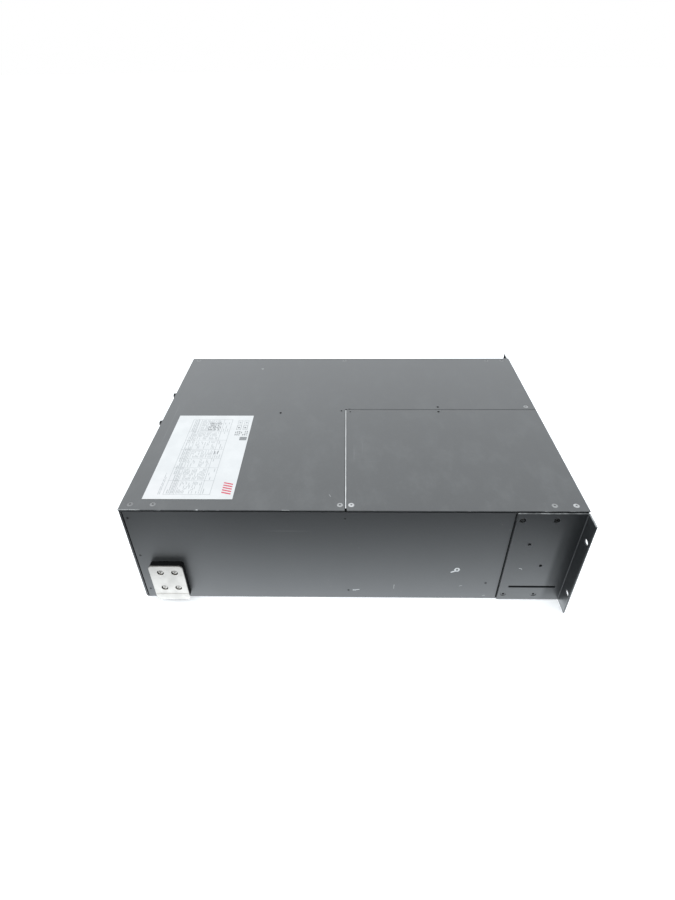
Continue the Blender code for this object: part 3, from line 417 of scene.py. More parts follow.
def label_film():
    shader = new_material("label_film")
    cloud = shader.noise(35, 4.0, 0.6)
    colour = shader.mix(shader.step(cloud, 0.35, 0.7), (0.470, 0.474, 0.474), (0.505, 0.508, 0.506))
    corner = shader.vector("LENGTH", shader.vector("SUBTRACT", shader.place(), (-0.18, 0.26, TOP)))
    warmth = shader.step(corner, 0.0, 0.05, 0.10, 0.0)
    colour = shader.mix(warmth, colour, (0.6, 0.5, 0.54))
    rough = shader.math("MULTIPLY_ADD", cloud, 0.15, 0.3)
    wrinkle = shader.noise(40, 2.0, 0.4, (1, 0.5, 1))
    return finish_material(shader, colour, rough, shader.bump(wrinkle, 0.1, 0.2 * MM))


def ink(name, colour):
    shader = new_material(name)
    speckle = shader.noise(2500, 1.0)
    paler = tuple(min(1.0, 0.35 * part + 0.38) for part in colour)
    mixed = shader.mix(shader.step(speckle, 0.45, 0.8, 0.0, 0.6), colour, paler)
    return finish_material(shader, mixed, 0.45)


def solder_mask():
    shader = new_material("solder_mask")
    tracks = shader.cells(260, "DISTANCE_TO_EDGE", stretch=(1, 0.35, 1))
    line = shader.step(tracks, 0.03, 0.08, 1.0, 0.0)
    colour = shader.mix(line, (0.008, 0.075, 0.026), (0.02, 0.17, 0.055))
    return finish_material(shader, colour, 0.35, shader.bump(line, 0.3, 0.05 * MM), Coat_Weight=0.4)


def layered(name, first, second, pitch, direction, roughness, metallic=0.0):
    """Fine stripes across one direction, for laminations, windings and tape."""
    shader = new_material(name)
    settings = {"bands_direction": direction}
    bands = shader.add("ShaderNodeTexWave", settings, Vector=shader.place(), Scale=1 / pitch)
    bands.inputs["Distortion"].default_value = 0.4
    colour = shader.mix(bands.outputs["Fac"], first, second)
    normal = shader.bump(bands.outputs["Fac"], 0.4, 0.2 * MM)
    return finish_material(shader, colour, roughness, normal, Metallic=metallic)


def light_pipe(name, colour, glow):
    shader = new_material(name)
    core = shader.noise(600, 2.0)
    mixed = shader.mix(core, colour, tuple(0.6 * part for part in colour))
    light = {"Emission_Color": (*colour, 1), "Emission_Strength": glow}
    return finish_material(shader, mixed, 0.25, Coat_Weight=0.6, **light)


def side_marks():
    """Chips on the left side: a ring with a tail round one hole, and small knocks near the bottom."""
    y, z, radius = -148.8, 61.9, 3.1
    turns = [math.radians(60 * i) for i in range(7)]
    corners = [(y + radius * math.cos(turn), z + radius * math.sin(turn)) for turn in turns]
    marks = [(*ends, 0.9, 0.85) for ends in zip(corners, corners[1:])]
    marks += [
        ((-145.5, 58.6), (-141.5, 56.8), 0.9, 0.9),
        ((-2.5, 17.2), (-11.5, 18.0), 0.5, 0.6),
        ((-2.2, 15.4), (-7.0, 15.6), 0.35, 0.35),
        ((-61.6, 20.5), (-61.9, 28.5), 0.25, 0.35),
        ((-156.5, 27.0), (-159.5, 28.2), 0.4, 0.25),
        ((-193.0, 6.0), (-196.0, 6.3), 0.4, 0.3),
    ]
    face = -SIDE / MM
    return [((face, *start), (face, *end), *looks) for start, end, *looks in marks]


def cover_marks():
    """Nicks on the covers, and the bare rear left corner."""
    marks = [
        ((173, 166.5), (173, 163.5), 0.5, 0.75),
        ((-215.8, 304.8), (-215.9, 276), 0.3, 0.5),
        ((-215.7, 305.2), (-210, 305.3), 0.3, 0.3),
        ((-215.7, 202.5), (-215.7, 200.9), 0.4, 0.7),
        ((-215.7, 91), (-215.7, 82), 0.25, 0.3),
        ((-185, 30.5), (-189, 28.5), 0.3, 0.25),
        ((209, 297), (206, 292), 0.6, 0.4),
    ]
    return [((*start, TOP / MM), (*end, TOP / MM), *looks) for start, end, *looks in marks]


def cover_edges(shader):
    """Where the covers' outer edges are rubbed to a pale line."""
    x, y, _ = shader.axes()
    from_side = shader.math("SUBTRACT", 0.216, shader.math("ABSOLUTE", x))
    from_end = shader.math("SUBTRACT", REAR, shader.math("ABSOLUTE", y))
    nearest = shader.math("MINIMUM", from_side, from_end)
    edge = shader.step(nearest, 0.15 * MM, 0.55 * MM, 1.0, 0.0)
    patchy = shader.step(shader.noise(55, 5.0, 0.75), 0.54, 0.66, 0.0, 0.28)
    return shader.times(edge, patchy)


def ear_marks():
    """A crescent of bare metal on the left ear."""
    start, bend, end = [(-217.5, y, z) for y, z in ((-234.2, 68.2), (-237.4, 67.6), (-238.6, 65.2))]
    return [(start, bend, 0.4, 0.5), (bend, end, 0.4, 0.35)]


def ear_top_highlight(shader):
    """A painted highlight along the top edge of both ears, in patches of pale metal colour."""
    _, _, z = shader.axes()
    edge = shader.step(z, 171.2 * MM, 171.7 * MM)
    return shader.times(edge, shader.step(shader.noise(40, 4.0, 0.7), 0.35, 0.6, 0.12, 0.5))


def rear_haze(shader):
    """Dust on the sides, thicker towards the rear."""
    _, y, _ = shader.axes()
    return shader.step(y, 0.13, 0.30, 0.0, 0.06)


def fold_painted_shade(shader):
    """Painted shade in the fold between an ear's plate and its flange: the share of sheen left there, least
    low down.
    """
    x, y, z = shader.axes()
    past_fold = shader.math("SUBTRACT", shader.math("ABSOLUTE", x), 217.5 * MM)
    away = shader.math("MAXIMUM", past_fold, shader.math("ADD", y, 302 * MM))
    near = shader.step(away, 19 * MM, 28 * MM, 0.85, 0.0)
    low = shader.step(z, 110 * MM, 168 * MM, 1.0, 0.15)
    low = shader.times(low, shader.step(z, 4 * MM, 24 * MM, 0.45, 1.0))
    return shader.math("SUBTRACT", 1.0, shader.times(near, low))


make_camera()
make_world()
make_floor()
make_backdrop()
bpy.context.scene.view_settings.view_transform = "Standard"

CASE_PAINT = powder_coat("case_paint", side_marks(), None, 0.4, haze=rear_haze)
# The ends of a pressed line on the battery bay cover, drawn darker along it as painted shade.
CREASE = ((24.6 * MM, 3 * MM, TOP), (24.6 * MM, -302 * MM, TOP))
COVER_PAINT = powder_coat("cover_paint", cover_marks(), cover_edges, 1.0, crease=CREASE)
# Ear paint: a painted highlight along the top edge, and painted shade in the fold by the flange.
EAR_PAINT = powder_coat("ear_paint", ear_marks(), ear_top_highlight, 0.2, gloss=0.3, sheen=0.72, shade_share=fold_painted_shade)
PAINT = powder_coat("black_paint", dust=0.5)
ZINC = bare_metal("zinc_plate", 0.54, 0.45, 0.36, (1, 0.2, 1), tint=(1.04, 1.0, 0.94))
BRIGHT_ZINC = bare_metal("zinc_screws", 0.42, 0.3, 0.3)
WORN_ZINC = bare_metal("worn_screws", 0.32, 0.22, 0.36)
DULL_ZINC = bare_metal("dull_screws", 0.23, 0.16, 0.42)
GALVANISED = bare_metal("galvanised_steel", 0.55, 0.4, 0.34, spangle=0.5)
BLACK_OXIDE = bare_metal("black_oxide", 0.07, 0.035, 0.38)
NICKEL = bare_metal("nickel_contacts", 0.62, 0.45, 0.25, tint=(1, 0.97, 0.9))
ALUMINIUM = bare_metal("aluminium", 0.7, 0.55, 0.35, (0.1, 1, 1))
BLACK_PLASTIC = moulded("black_plastic", (0.018, 0.019, 0.02), 0.42)
# Matt black: real on the rail spacers, and painted shade as strips in the casing's gaps and discs in screw
# sockets.
MATT_BLACK_AND_SHADE = matt("matt_black_and_shade", (0.0025, 0.0026, 0.0028))
ROTOR_PLASTIC = moulded("rotor_plastic", (0.022, 0.022, 0.024), 0.35, 0.1)
GREY_PLASTIC = moulded("grey_plastic", (0.13, 0.14, 0.15), 0.45)
KEY_PLASTIC = moulded("key_plastic", (0.42, 0.43, 0.42), 0.4)
BATTERY_CASE = moulded("battery_case", (0.03, 0.033, 0.036), 0.45, 0.3)
BATTERY_LID = moulded("battery_lid", (0.045, 0.048, 0.052), 0.4, 0.2)
RED_RUBBER = moulded("red_insulation", (0.36, 0.012, 0.01), 0.4, 0.1, 0.2)
BLACK_RUBBER = moulded("black_insulation", (0.016, 0.016, 0.017), 0.4, 0.1, 0.2)
LENS = tinted_lens()
LABEL = label_film()
GREY_INK = ink("grey_ink", (0.27, 0.28, 0.285))
DARK_INK = ink("dark_ink", (0.13, 0.135, 0.14))
RED_INK = ink("red_ink", (0.42, 0.025, 0.055))
BOARD = solder_mask()
CORE_STEEL = layered("core_laminations", (0.09, 0.095, 0.1), (0.05, 0.052, 0.055), 3 * MM, "Y", 0.5, 0.5)
WINDING = layered("winding_tape", (0.5, 0.28, 0.05), (0.38, 0.2, 0.035), 12 * MM, "Z", 0.4)
SLEEVE = layered("capacitor_sleeve", (0.02, 0.035, 0.09), (0.015, 0.028, 0.075), 30 * MM, "Z", 0.3)
GREEN_LIGHT = light_pipe("green_light_pipe", (0.08, 0.5, 0.16), 0.15)
AMBER_LIGHT = light_pipe("amber_light_pipe", (0.6, 0.3, 0.04), 0.1)
RED_LIGHT = light_pipe("red_light_pipe", (0.5, 0.05, 0.03), 0.05)


RUBBER = {"red": RED_RUBBER, "black": BLACK_RUBBER}


# ---------------------------------------------------------------- mesh tools


def turned_to(axis):
    """The rotation that takes +Z to an axis such as "-X"."""
    along = {"X": Vector((1, 0, 0)), "Y": Vector((0, 1, 0)), "Z": Vector((0, 0, 1))}[axis[-1]]
    if axis.startswith("-"):
        along = -along
    return along.to_track_quat("Z", "Y").to_matrix().to_4x4()


def bevel(work, edges, offset, segments, clamped=True):
    bmesh.ops.bevel(
        work, geom=edges, offset=offset, segments=segments, profile=0.5, affect="EDGES", clamp_overlap=clamped
    )


def add_box(work, low, high, round_by=0.0, steps=2):
    """A box between two corners, with its edges rounded."""
    low, high = Vector(low), Vector(high)
    made = bmesh.ops.create_cube(work, size=1)["verts"]
    for vertex in made:
        share = vertex.co + Vector((0.5, 0.5, 0.5))
        vertex.co = Vector(low[i] + share[i] * (high[i] - low[i]) for i in range(3))
    if round_by:
        bevel(work, list({edge for vertex in made for edge in vertex.link_edges}), round_by, steps)


def mm_corners(node):
    """The low and high corners of a CAD node's box, in mm."""
    return [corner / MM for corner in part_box(node)]


def mm_box(work, x, y, z, round_by=0.0, steps=2):
    """A box from spans in mm."""
    low, high = zip(x, y, z)
    add_box(work, Vector(low) * MM, Vector(high) * MM, round_by * MM, steps)


def mm_turned(work, profile, place, axis="Y", steps=32):
    """A turned solid in mm. profile lists (radius, height) up the axis, and its ends are closed."""
    to_place = Matrix.Translation(tuple(value * MM for value in place)) @ turned_to(axis)
    rings = []
    for radius, height in [(radius * MM, height * MM) for radius, height in profile]:
        if radius < 1e-7:
            rings.append([work.verts.new(to_place @ Vector((0, 0, height)))])
            continue
        angles = [2 * math.pi * i / steps for i in range(steps)]
        ring = [Vector((radius * math.cos(a), radius * math.sin(a), height)) for a in angles]
        rings.append([work.verts.new(to_place @ point) for point in ring])
    for lower, upper in zip(rings, rings[1:]):
        for i in range(steps):
            j = (i + 1) % steps
            corners = [(lower, i), (lower, j), (upper, j), (upper, i)]
            unique = list(dict.fromkeys(ring[k % len(ring)] for ring, k in corners))
            if len(unique) > 2:
                work.faces.new(unique)
    if len(rings[0]) > 1:
        work.faces.new(list(reversed(rings[0])))
    if len(rings[-1]) > 1:
        work.faces.new(rings[-1])


def add_tube(work, points, radius, sides=10, closed=False):
    """A round tube swept along points, with its frame carried along so that it doesn't twist."""
    points = [Vector(point) for point in points]
    count = len(points)
    rings = []
    across = None
    for i, point in enumerate(points):
        before = points[(i - 1) % count] if closed or i else point
        after = points[(i + 1) % count] if closed or i < count - 1 else point
        along = (after - before).normalized()
        if across is None:
            across = along.orthogonal().normalized()
        across = (across - along * across.dot(along)).normalized()
        other = along.cross(across)
        turns = [2 * math.pi * k / sides for k in range(sides)]
        rings.append(
            [work.verts.new(point + radius * (math.cos(t) * across + math.sin(t) * other)) for t in turns]
        )
    pairs = list(zip(rings, rings[1:])) + ([(rings[-1], rings[0])] if closed else [])
    for first, second in pairs:
        shift = 0
        if closed and second is rings[0]:
            shift = min(range(sides), key=lambda s: (first[0].co - second[s].co).length)
        for k in range(sides):
            m = (k + 1) % sides
            work.faces.new([first[k], first[m], second[(m + shift) % sides], second[(k + shift) % sides]])
    if not closed:
        work.faces.new(list(reversed(rings[0])))
        work.faces.new(rings[-1])


def mm_tube(work, route, radius, sides):
    """A tube along a smooth curve through places in mm."""
    add_tube(work, smooth_route([Vector(point) * MM for point in route]), radius * MM, sides)


def ring_points(centre, radius, steps):
    """Points round a circle that faces along Y."""
    to_place = Matrix.Translation(centre) @ turned_to("Y")
    angles = [2 * math.pi * i / steps for i in range(steps)]
    return [to_place @ Vector((radius * math.cos(a), radius * math.sin(a), 0)) for a in angles]


def smooth_route(points, per_span=6):
    """A Catmull-Rom curve through points."""
    points = [Vector(point) for point in points]
    padded = [2 * points[0] - points[1], *points, 2 * points[-1] - points[-2]]
    route = []
    for a, b, c, d in zip(padded, padded[1:], padded[2:], padded[3:]):
        for i in range(per_span):
            t = i / per_span
            square, cube = 2 * a - 5 * b + 4 * c - d, 3 * b - a - 3 * c + d
            route.append(0.5 * (2 * b + (c - a) * t + square * t**2 + cube * t**3))
    return [*route, points[-1]]


def add_outline(work, outline, low, high, axis="Y", round_by=0.0, steps=2):
    """A closed outline extruded between two heights along Y or Z. The outline is (u, v) across that axis."""

    def corner(u, v, height):
        return work.verts.new((u, height, v) if axis == "Y" else (u, v, height))

    bottom = [corner(u, v, low) for u, v in outline]
    top = [corner(u, v, high) for u, v in outline]
    faces = [work.faces.new(bottom), work.faces.new(list(reversed(top)))]
    count = len(outline)
    for i in range(count):
        j = (i + 1) % count
        faces.append(work.faces.new([bottom[i], top[i], top[j], bottom[j]]))
    bmesh.ops.recalc_face_normals(work, faces=faces)
    if round_by:
        bevel(work, list({edge for face in faces[:2] for edge in face.edges}), round_by, steps)


def to_object(name, work, look, angle=35):
    bmesh.ops.recalc_face_normals(work, faces=work.faces)
    mesh = bpy.data.meshes.new(name)
    work.to_mesh(mesh)
    work.free()
    mesh.shade_smooth()
    mesh.set_sharp_from_angle(angle=math.radians(angle))
    made = bpy.data.objects.new(name, mesh)
    mesh.materials.append(look)
    bpy.context.scene.collection.objects.link(made)
    return made


def piece(name, work, look, body, replaced=(), angle=35):
    """A finished piece that rides on a body, in the finish it is given."""
    made = to_object(name, work, look, angle)
    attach(made, body)
    if replaced:
        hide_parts(*replaced)
    return made


def weighted(made):
    """Keeps large flat faces flat beside their rounded edges."""
    change = made.modifiers.new("weighted_normals", "WEIGHTED_NORMAL")
    change.keep_sharp = True
    return made


def boolean(target, cutter_work):
    """Cuts a scratch mesh from an object, and keeps the result as the object's mesh."""
    bmesh.ops.recalc_face_normals(cutter_work, faces=cutter_work.faces)
    cutter_mesh = bpy.data.meshes.new("cutter")
    cutter_work.to_mesh(cutter_mesh)
    cutter_work.free()
    cutter = bpy.data.objects.new("cutter", cutter_mesh)
    bpy.context.scene.collection.objects.link(cutter)
    change = target.modifiers.new("cut", "BOOLEAN")
    change.operation = "DIFFERENCE"
    change.object = cutter
    bpy.context.view_layer.update()
    graph = bpy.context.evaluated_depsgraph_get()
    result = bpy.data.meshes.new_from_object(target.evaluated_get(graph))
    target.modifiers.clear()
    target.data = result
    bpy.data.objects.remove(cutter)


def refined(node, look, round_by, cutter=None, steps=2, bends=()):
    """A copy of a CAD node with rounded edges, and with extra holes where a cutter is given.

    round_by is in mm. bends lists (test, radius in mm) for edges that are rounded more, and a test is
    given an edge's two ends in mm.
    """
    work = bmesh.new()
    work.from_mesh(frame["nodes"][node].data)
    bmesh.ops.remove_doubles(work, verts=work.verts, dist=1e-6)
    made = to_object(f"{node}_shell", work, look)
    if cutter is not None:
        boolean(made, cutter)
    work = bmesh.new()
    work.from_mesh(made.data)
    bmesh.ops.remove_doubles(work, verts=work.verts, dist=2e-6)
    bmesh.ops.dissolve_limit(
        work, angle_limit=math.radians(0.5), use_dissolve_boundaries=False, verts=work.verts, edges=work.edges
    )
    for test, radius in bends:
        bevel(work, [e for e in work.edges if test(*(v.co / MM for v in e.verts))], radius * MM, 4, False)
    sharp = [e for e in work.edges if len(e.link_faces) == 2 and e.calc_face_angle() > math.radians(32)]
    bevel(work, sharp, round_by * MM, steps, False)
    work.to_mesh(made.data)
    work.free()
    made.data.materials.clear()
    made.data.materials.append(look)
    made.data.shade_smooth()
    made.data.set_sharp_from_angle(angle=math.radians(50))
    weighted(made)
    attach(made, BODY_OF[node])
    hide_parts(node)
    return made


def restyle(node, look):
    """Gives a CAD node that stays in view, or inside, its finished material."""
    mesh = frame["nodes"][node].data
    mesh.materials.clear()
    mesh.materials.append(look)


# ---------------------------------------------------------------- fasteners


def cross_cutter(reach, depth):
    """A tapered cross for a driver, cut down from a little above 0."""
    work = bmesh.new()
    half = 0.55 * MM
    outline = []
    for turn in range(4):
        a = math.radians(90 * turn)
        for u, v in ((reach, -half), (reach, half), (half, half)):
            outline.append((u * math.cos(a) - v * math.sin(a), u * math.sin(a) + v * math.cos(a)))
    add_outline(work, outline, -depth, 3 * MM, "Z")
    for vertex in work.verts:
        if vertex.co.z < 0:
            vertex.co.x *= 0.62
            vertex.co.y *= 0.62
    return work


def head_mesh(profile, recess=None, steps=28):
    """A fastener's head: a turned profile in mm, with a cross recess of (reach, depth) from its top."""
    work = bmesh.new()
    mm_turned(work, profile, (0, 0, 0), "Z", steps)
    if recess is None:
        mesh = bpy.data.meshes.new("head")
        work.to_mesh(mesh)
        work.free()
        return mesh
    made = to_object("head", work, BRIGHT_ZINC)
    cutter = cross_cutter(recess[0] * MM, recess[1] * MM)
    top = max(height for _, height in profile) * MM
    bmesh.ops.translate(cutter, verts=cutter.verts, vec=(0, 0, top))
    boolean(made, cutter)
    mesh = made.data
    bpy.data.objects.remove(made)
    return mesh


FLAT_HEAD = head_mesh(
    [(0, -1.3), (2.2, -1.3), (3.9, -0.12), (4.0, 0.0), (3.8, 0.1), (2.6, 0.16), (0, 0.18)], (2.1, 1.2)
)
PAN_HEAD = head_mesh(
    [(0, -0.3), (3.7, -0.3), (3.8, 0.1), (3.75, 1.0), (3.3, 1.7), (2.4, 2.15), (1.2, 2.35), (0, 2.4)],
    (2.0, 1.5),
)
SMALL_PAN_HEAD = head_mesh(
    [(0, -0.2), (2.6, -0.2), (2.7, 0.1), (2.65, 0.8), (2.2, 1.35), (1.4, 1.6), (0, 1.7)], (1.5, 1.1)
)
EAR_HEAD = head_mesh(
    [(0, -1.3), (2.5, -1.3), (2.6, -0.9), (2.5, 0.0), (2.1, 0.4), (1.2, 0.6), (0, 0.65)], (1.9, 1.6)
)
LOW_EAR_HEAD = head_mesh(
    [(0, -1.3), (3.7, -1.3), (3.85, -0.2), (3.7, 0.3), (2.4, 0.45), (1.85, 0.4), (1.8, -0.8), (0, -0.8)]
)
# A black disc in the lower ear screws' bore: painted shade in the socket.
SOCKET_SHADE = head_mesh([(0, -0.9), (1.75, -0.9), (1.75, 0.1), (0, 0.1)])
RIVET_HEAD = head_mesh([(0, -0.3), (1.7, -0.3), (1.75, 0.0), (1.5, 0.25), (0.9, 0.4), (0.7, 0.1), (0, 0.1)])
TRAY_RIVET = head_mesh(
    [(0, -0.3), (2.9, -0.3), (3.0, 0.0), (2.7, 0.35), (1.9, 0.62), (1.15, 0.7), (1.0, 0.3), (0, 0.25)]
)


def scattered(name, mesh, look, body, places):
    """One piece made of copies of a head. places lists (point in mm, axis, turn in degrees)."""
    work = bmesh.new()
    for point, axis, turn in places:
        start = len(work.verts)
        work.from_mesh(mesh)
        work.verts.ensure_lookup_table()
        spin = Matrix.Rotation(math.radians(turn), 4, "Z")
        to_place = Matrix.Translation(Vector(point) * MM) @ turned_to(axis) @ spin
        for vertex in work.verts[start:]:
            vertex.co = to_place @ vertex.co
    return piece(name, work, look, body, angle=30)


# Countersunk screws of the two covers, and their small holes: (x, y, turn) and (x, y, radius), in mm.
BAY_COVER_SCREWS = {"bright": [(-205, 1.2, 20), (-205, -291, 35)], "worn": [(-205, -263, 70)], "dull": []}
BIG_COVER_SCREWS = {
    "bright": [],
    "worn": [(-205, 16, 65), (39, -291, 25)],
    "dull": [
        (-205, 292, 15), (-205, 262, 50), (207, 293, 5), (207, 11, 30), (207, -261, 80), (207, -290, 55),
    ],
}
BAY_COVER_HOLES = [(22.4, 1.2, 1.2), (22.7, -144, 1.9)]
BIG_COVER_HOLES = [(19.0, 116, 1.9), (25.4, 15.7, 1.5), (30.4, 2.5, 1.5), (37.6, -144.7, 1.9)]
# Dark rivets of the two sides: (y, z), in mm.
SIDE_RIVETS = [(295.8, 159.3), (295, 88.2), (295.6, 17.6), (9.3, 159.6), (4.2, 16.4), (-193.4, 33.5)]
EAR_SCREWS = [(-221.4, 160.3, 10), (-221.7, 12.5, 55), (-265.3, 12.7, 80), (-265.6, 159.8, 35)]
RAIL_SCREWS = [(248.6, 33.0, 20), (268.5, 33.0, 65), (248.6, 64.8, 40), (268.5, 64.8, 5)]


def countersinks(screws, holes):
    work = bmesh.new()
    for x, y, radius in holes:
        mm_turned(work, [(radius, -2.5), (radius, 2)], (x, y, TOP / MM), "Z", 20)
    for x, y, _ in screws["bright"] + screws["worn"] + screws["dull"]:
        mm_turned(work, [(2.6, -2.5), (2.6, -1.1), (4.35, 0.06), (4.35, 2)], (x, y, TOP / MM), "Z", 32)
    return work


def casing():
    side, top = SIDE / MM, CASE_HIGH.z / MM
    # Grooves are cut along the rear panel, behind the ears and under the cover, and the matt black strips in
    # them are painted shade for the dark gaps there.
    rebates, shade_strips = bmesh.new(), bmesh.new()
    for sign in (-1, 1):
        cut = sorted((sign * (side - 1.0), sign * (side + 1.0)))
        filled = sorted((sign * (side - 1.1), sign * (side - 0.45)))
        for y in ((300.6, 302.4), (-213.3, -211.8)):
            mm_box(rebates, cut, y, (2.5, top - 2.2))
            mm_box(shade_strips, filled, (y[0] + 0.05, y[1] - 0.05), (2.6, top - 2.3))
        mm_box(rebates, cut, (-304, 304), (top - 1.5, top + 1))
        mm_box(shade_strips, filled, (-303, 303), (top - 1.45, top + 0.8))
    refined("case", CASE_PAINT, 0.2, rebates)
    piece("casing_shade_strips", shade_strips, MATT_BLACK_AND_SHADE, CHASSIS)
    refined("top_cover", COVER_PAINT, 0.35, countersinks(BIG_COVER_SCREWS, BIG_COVER_HOLES))
    refined("battery_bay_cover", COVER_PAINT, 0.35, countersinks(BAY_COVER_SCREWS, BAY_COVER_HOLES))
    refined("front_panel", PAINT, 0.25)
    refined("rear_panel", PAINT, 0.2)
    refined("accessory_slot_cover", PAINT, 0.3)
    refined("bay_divider", GALVANISED, 0.15)


def ears_and_rails():
    def inner_fold(a, b):
        return all(abs(abs(p.x) - 217.5) < 0.05 and abs(p.y + 303.5) < 0.05 for p in (a, b))

    for name, sign in (("left", -1), ("right", 1)):
        slit = bmesh.new()
        mm_box(slit, sorted((sign * 214, sign * 219)), (-293.5, -226.5), (27.2, 31.1))
        refined(f"{name}_rack_ear", EAR_PAINT, 0.3, slit, bends=[(inner_fold, 1.6)])
        refined(f"{name}_rail_plate", ZINC, 0.3)
        lip = bmesh.new()
        mm_box(lip, sorted((sign * 226.2, sign * 226.75)), (236.4, 283.6), (7.8, 20.6), 0.25)
        piece(f"{name}_rail_lip", lip, ZINC, CHASSIS)
        refined(f"{name}_rail_spacer", MATT_BLACK_AND_SHADE, 0.3)


def casing_fasteners():
    for kind, look in (("bright", BRIGHT_ZINC), ("worn", WORN_ZINC), ("dull", DULL_ZINC)):
        places = [
            ((x, y, TOP / MM - 0.12), "Z", turn)
            for x, y, turn in BAY_COVER_SCREWS[kind] + BIG_COVER_SCREWS[kind]
        ]
        scattered(f"{kind}_cover_screws", FLAT_HEAD, look, CHASSIS, places)
    for sign, axis, side in ((-1, "-X", "left"), (1, "X", "right")):
        scattered(
            f"{side}_side_rivets", RIVET_HEAD, BLACK_OXIDE, CHASSIS,
            [((sign * SIDE / MM, y, z), axis, 0) for y, z in SIDE_RIVETS],
        )
        for height, head, look in (("upper", EAR_HEAD, BLACK_OXIDE), ("lower", LOW_EAR_HEAD, PAINT)):
            upper = height == "upper"
            places = [((sign * 216.6, y, z), axis, turn) for y, z, turn in EAR_SCREWS if (z > 100) == upper]
            scattered(f"{side}_{height}_ear_screws", head, look, CHASSIS, places)
        # Painted shade: black discs in the lower ear screws' sockets.
        scattered(f"{side}_ear_socket_shade", SOCKET_SHADE, MATT_BLACK_AND_SHADE, CHASSIS, places)
        scattered(
            f"{side}_rail_screws", PAN_HEAD, ZINC, CHASSIS,
            [((sign * 223.4, y, z), axis, turn) for y, z, turn in RAIL_SCREWS],
        )


def restyle_all():
    looks = {
        "black_paint": PAINT, "galvanised": GALVANISED, "zinc": ZINC, "black_plastic": BLACK_PLASTIC,
        "grey_plastic": GREY_PLASTIC, "key_plastic": KEY_PLASTIC, "smoked_lens": LENS, "label_film": LABEL,
        "circuit_board": BOARD, "aluminium": ALUMINIUM, "core_steel": CORE_STEEL, "winding_tape": WINDING,
        "capacitor_sleeve": SLEEVE, "battery_case": BATTERY_CASE, "cable_rubber": BLACK_RUBBER,
    }
    for node in frame["nodes"]:
        restyle(node, looks[SLOT_OF[node]])


# ---------------------------------------------------------------- label


def label_print():
    """A ruled table of rows too small to read, some symbols and a red flash, as thin raised print."""
    refined("rating_label", LABEL, 0.06)
    base = mm_corners("rating_label")[1].z
    rng = random.Random(31)
    grey, dark, red = bmesh.new(), bmesh.new(), bmesh.new()

    def bar(work, x, y):
        mm_box(work, sorted(x), sorted(y), (base - 0.05, base + 0.03))

    def rows(work, x, y, pitch, height, words, filled):
        """Rows along X of word-like dashes between two edges."""
        at = y[0] + pitch / 2
        while at < y[1] - height / 2:
            along = x[0]
            while along < x[1] - 1:
                length = min(rng.uniform(*words), x[1] - along)
                if rng.random() < filled:
                    bar(work, (along, along + length), (at - height / 2, at + height / 2))
                along += length + rng.uniform(0.9, 2.2)
            at += pitch

    ends = (-186, -2)
    for y in (254, 245.4, 240, 204, 191):
        bar(grey, ends, (y - 0.3, y + 0.3))
    for x in (*ends, -157, -128, -106, -84, -60, -37):
        bar(grey, (x - 0.25, x + 0.25), (191, 254))
    rows(grey, (-184, -4), (246.5, 253), 2.4, 1.1, (4, 16), 0.8)
    rows(grey, (-184, -4), (241, 245), 2.0, 1.0, (4, 12), 0.8)
    columns = (
        (-184, -159, 0.5), (-155, -130, 0.75), (-126, -108, 0.45), (-104, -86, 0.8),
        (-82, -62, 0.5), (-58, -39, 0.75), (-35, -4, 0.8),
    )
    for start, end, filled in columns:
        rows(grey, (start, end), (206, 239), 1.9, 0.8, (3, 9), filled)
        rows(grey, (start, end), (193, 203), 3.2, 1.0, (4, 12), filled * 0.6)
    rows(dark, (-33, -11), (206, 226), 2.2, 1.1, (2, 6), 0.8)
    for y in (198.5, 203):
        bar(dark, (-96, -88), (y - 0.6, y + 0.6))
    rows(grey, (-186, -140), (258, 262), 2.0, 0.9, (4, 9), 0.7)
    rows(dark, (-47, -35), (161, 182), 3.0, 1.6, (2, 6), 0.85)
    mm_box(dark, (-60, -51), (161, 172), (base - 0.05, base + 0.03))
    for x, work in (((-16, -5), grey), ((-31, -19), dark)):
        for y in ((164, 171), (174, 181)):
            for edge in ((x[0], x[0] + 0.6), (x[1] - 0.6, x[1])):
                bar(work, edge, y)
            for edge in ((y[0], y[0] + 0.6), (y[1] - 0.6, y[1])):
                bar(work, x, edge)
            centre = (x[0] + x[1]) / 2
            bar(work, (centre - 2.4, centre + 1.6), (y[0] + 2.2, y[1] - 2.2))
    for start in (-186, -181, -176, -171, -166):
        slant = [(start, 163), (start + 2.6, 163), (start + 6.2, 176), (start + 3.6, 176)]
        outline = [(x * MM, y * MM) for x, y in slant]
        add_outline(red, outline, (base - 0.05) * MM, (base + 0.03) * MM, "Z")
    piece("label_rules", grey, GREY_INK, CHASSIS)
    piece("label_symbols", dark, DARK_INK, CHASSIS)
    piece("label_flash", red, RED_INK, CHASSIS)


# ---------------------------------------------------------------- rear


def middle(node):
    """The middle of a CAD node's box, in mm."""
    low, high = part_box(node)
    return (low + high) / 2 / MM


def rear_box(work, node, offset, reach, depth, round_by, steps=2):
    """A box at an (x, z) offset from a CAD node's middle. reach is half of its width and height."""
    at = middle(node)
    x, z = at.x + offset[0], at.z + offset[1]
    mm_box(work, (x - reach[0], x + reach[0]), depth, (z - reach[1], z + reach[1]), round_by, steps)


def blade_section(chord, pitch, thick):
    """Eight points round a fan blade's section, in (tangential, axial) mm, at a radius."""
    half = chord / 2
    upper = [(-half, 0), (-0.5 * half, 0.9), (0, 1.15), (0.5 * half, 0.9)]
    shape = upper + [(half, 0.1), (0.5 * half, 0.2), (0, 0.35), (-0.5 * half, 0.2)]
    turn = math.radians(pitch)
    points = []
    for u, v in shape:
        v *= thick
        points.append((u * math.cos(turn) - v * math.sin(turn), u * math.sin(turn) + v * math.cos(turn)))
    return points


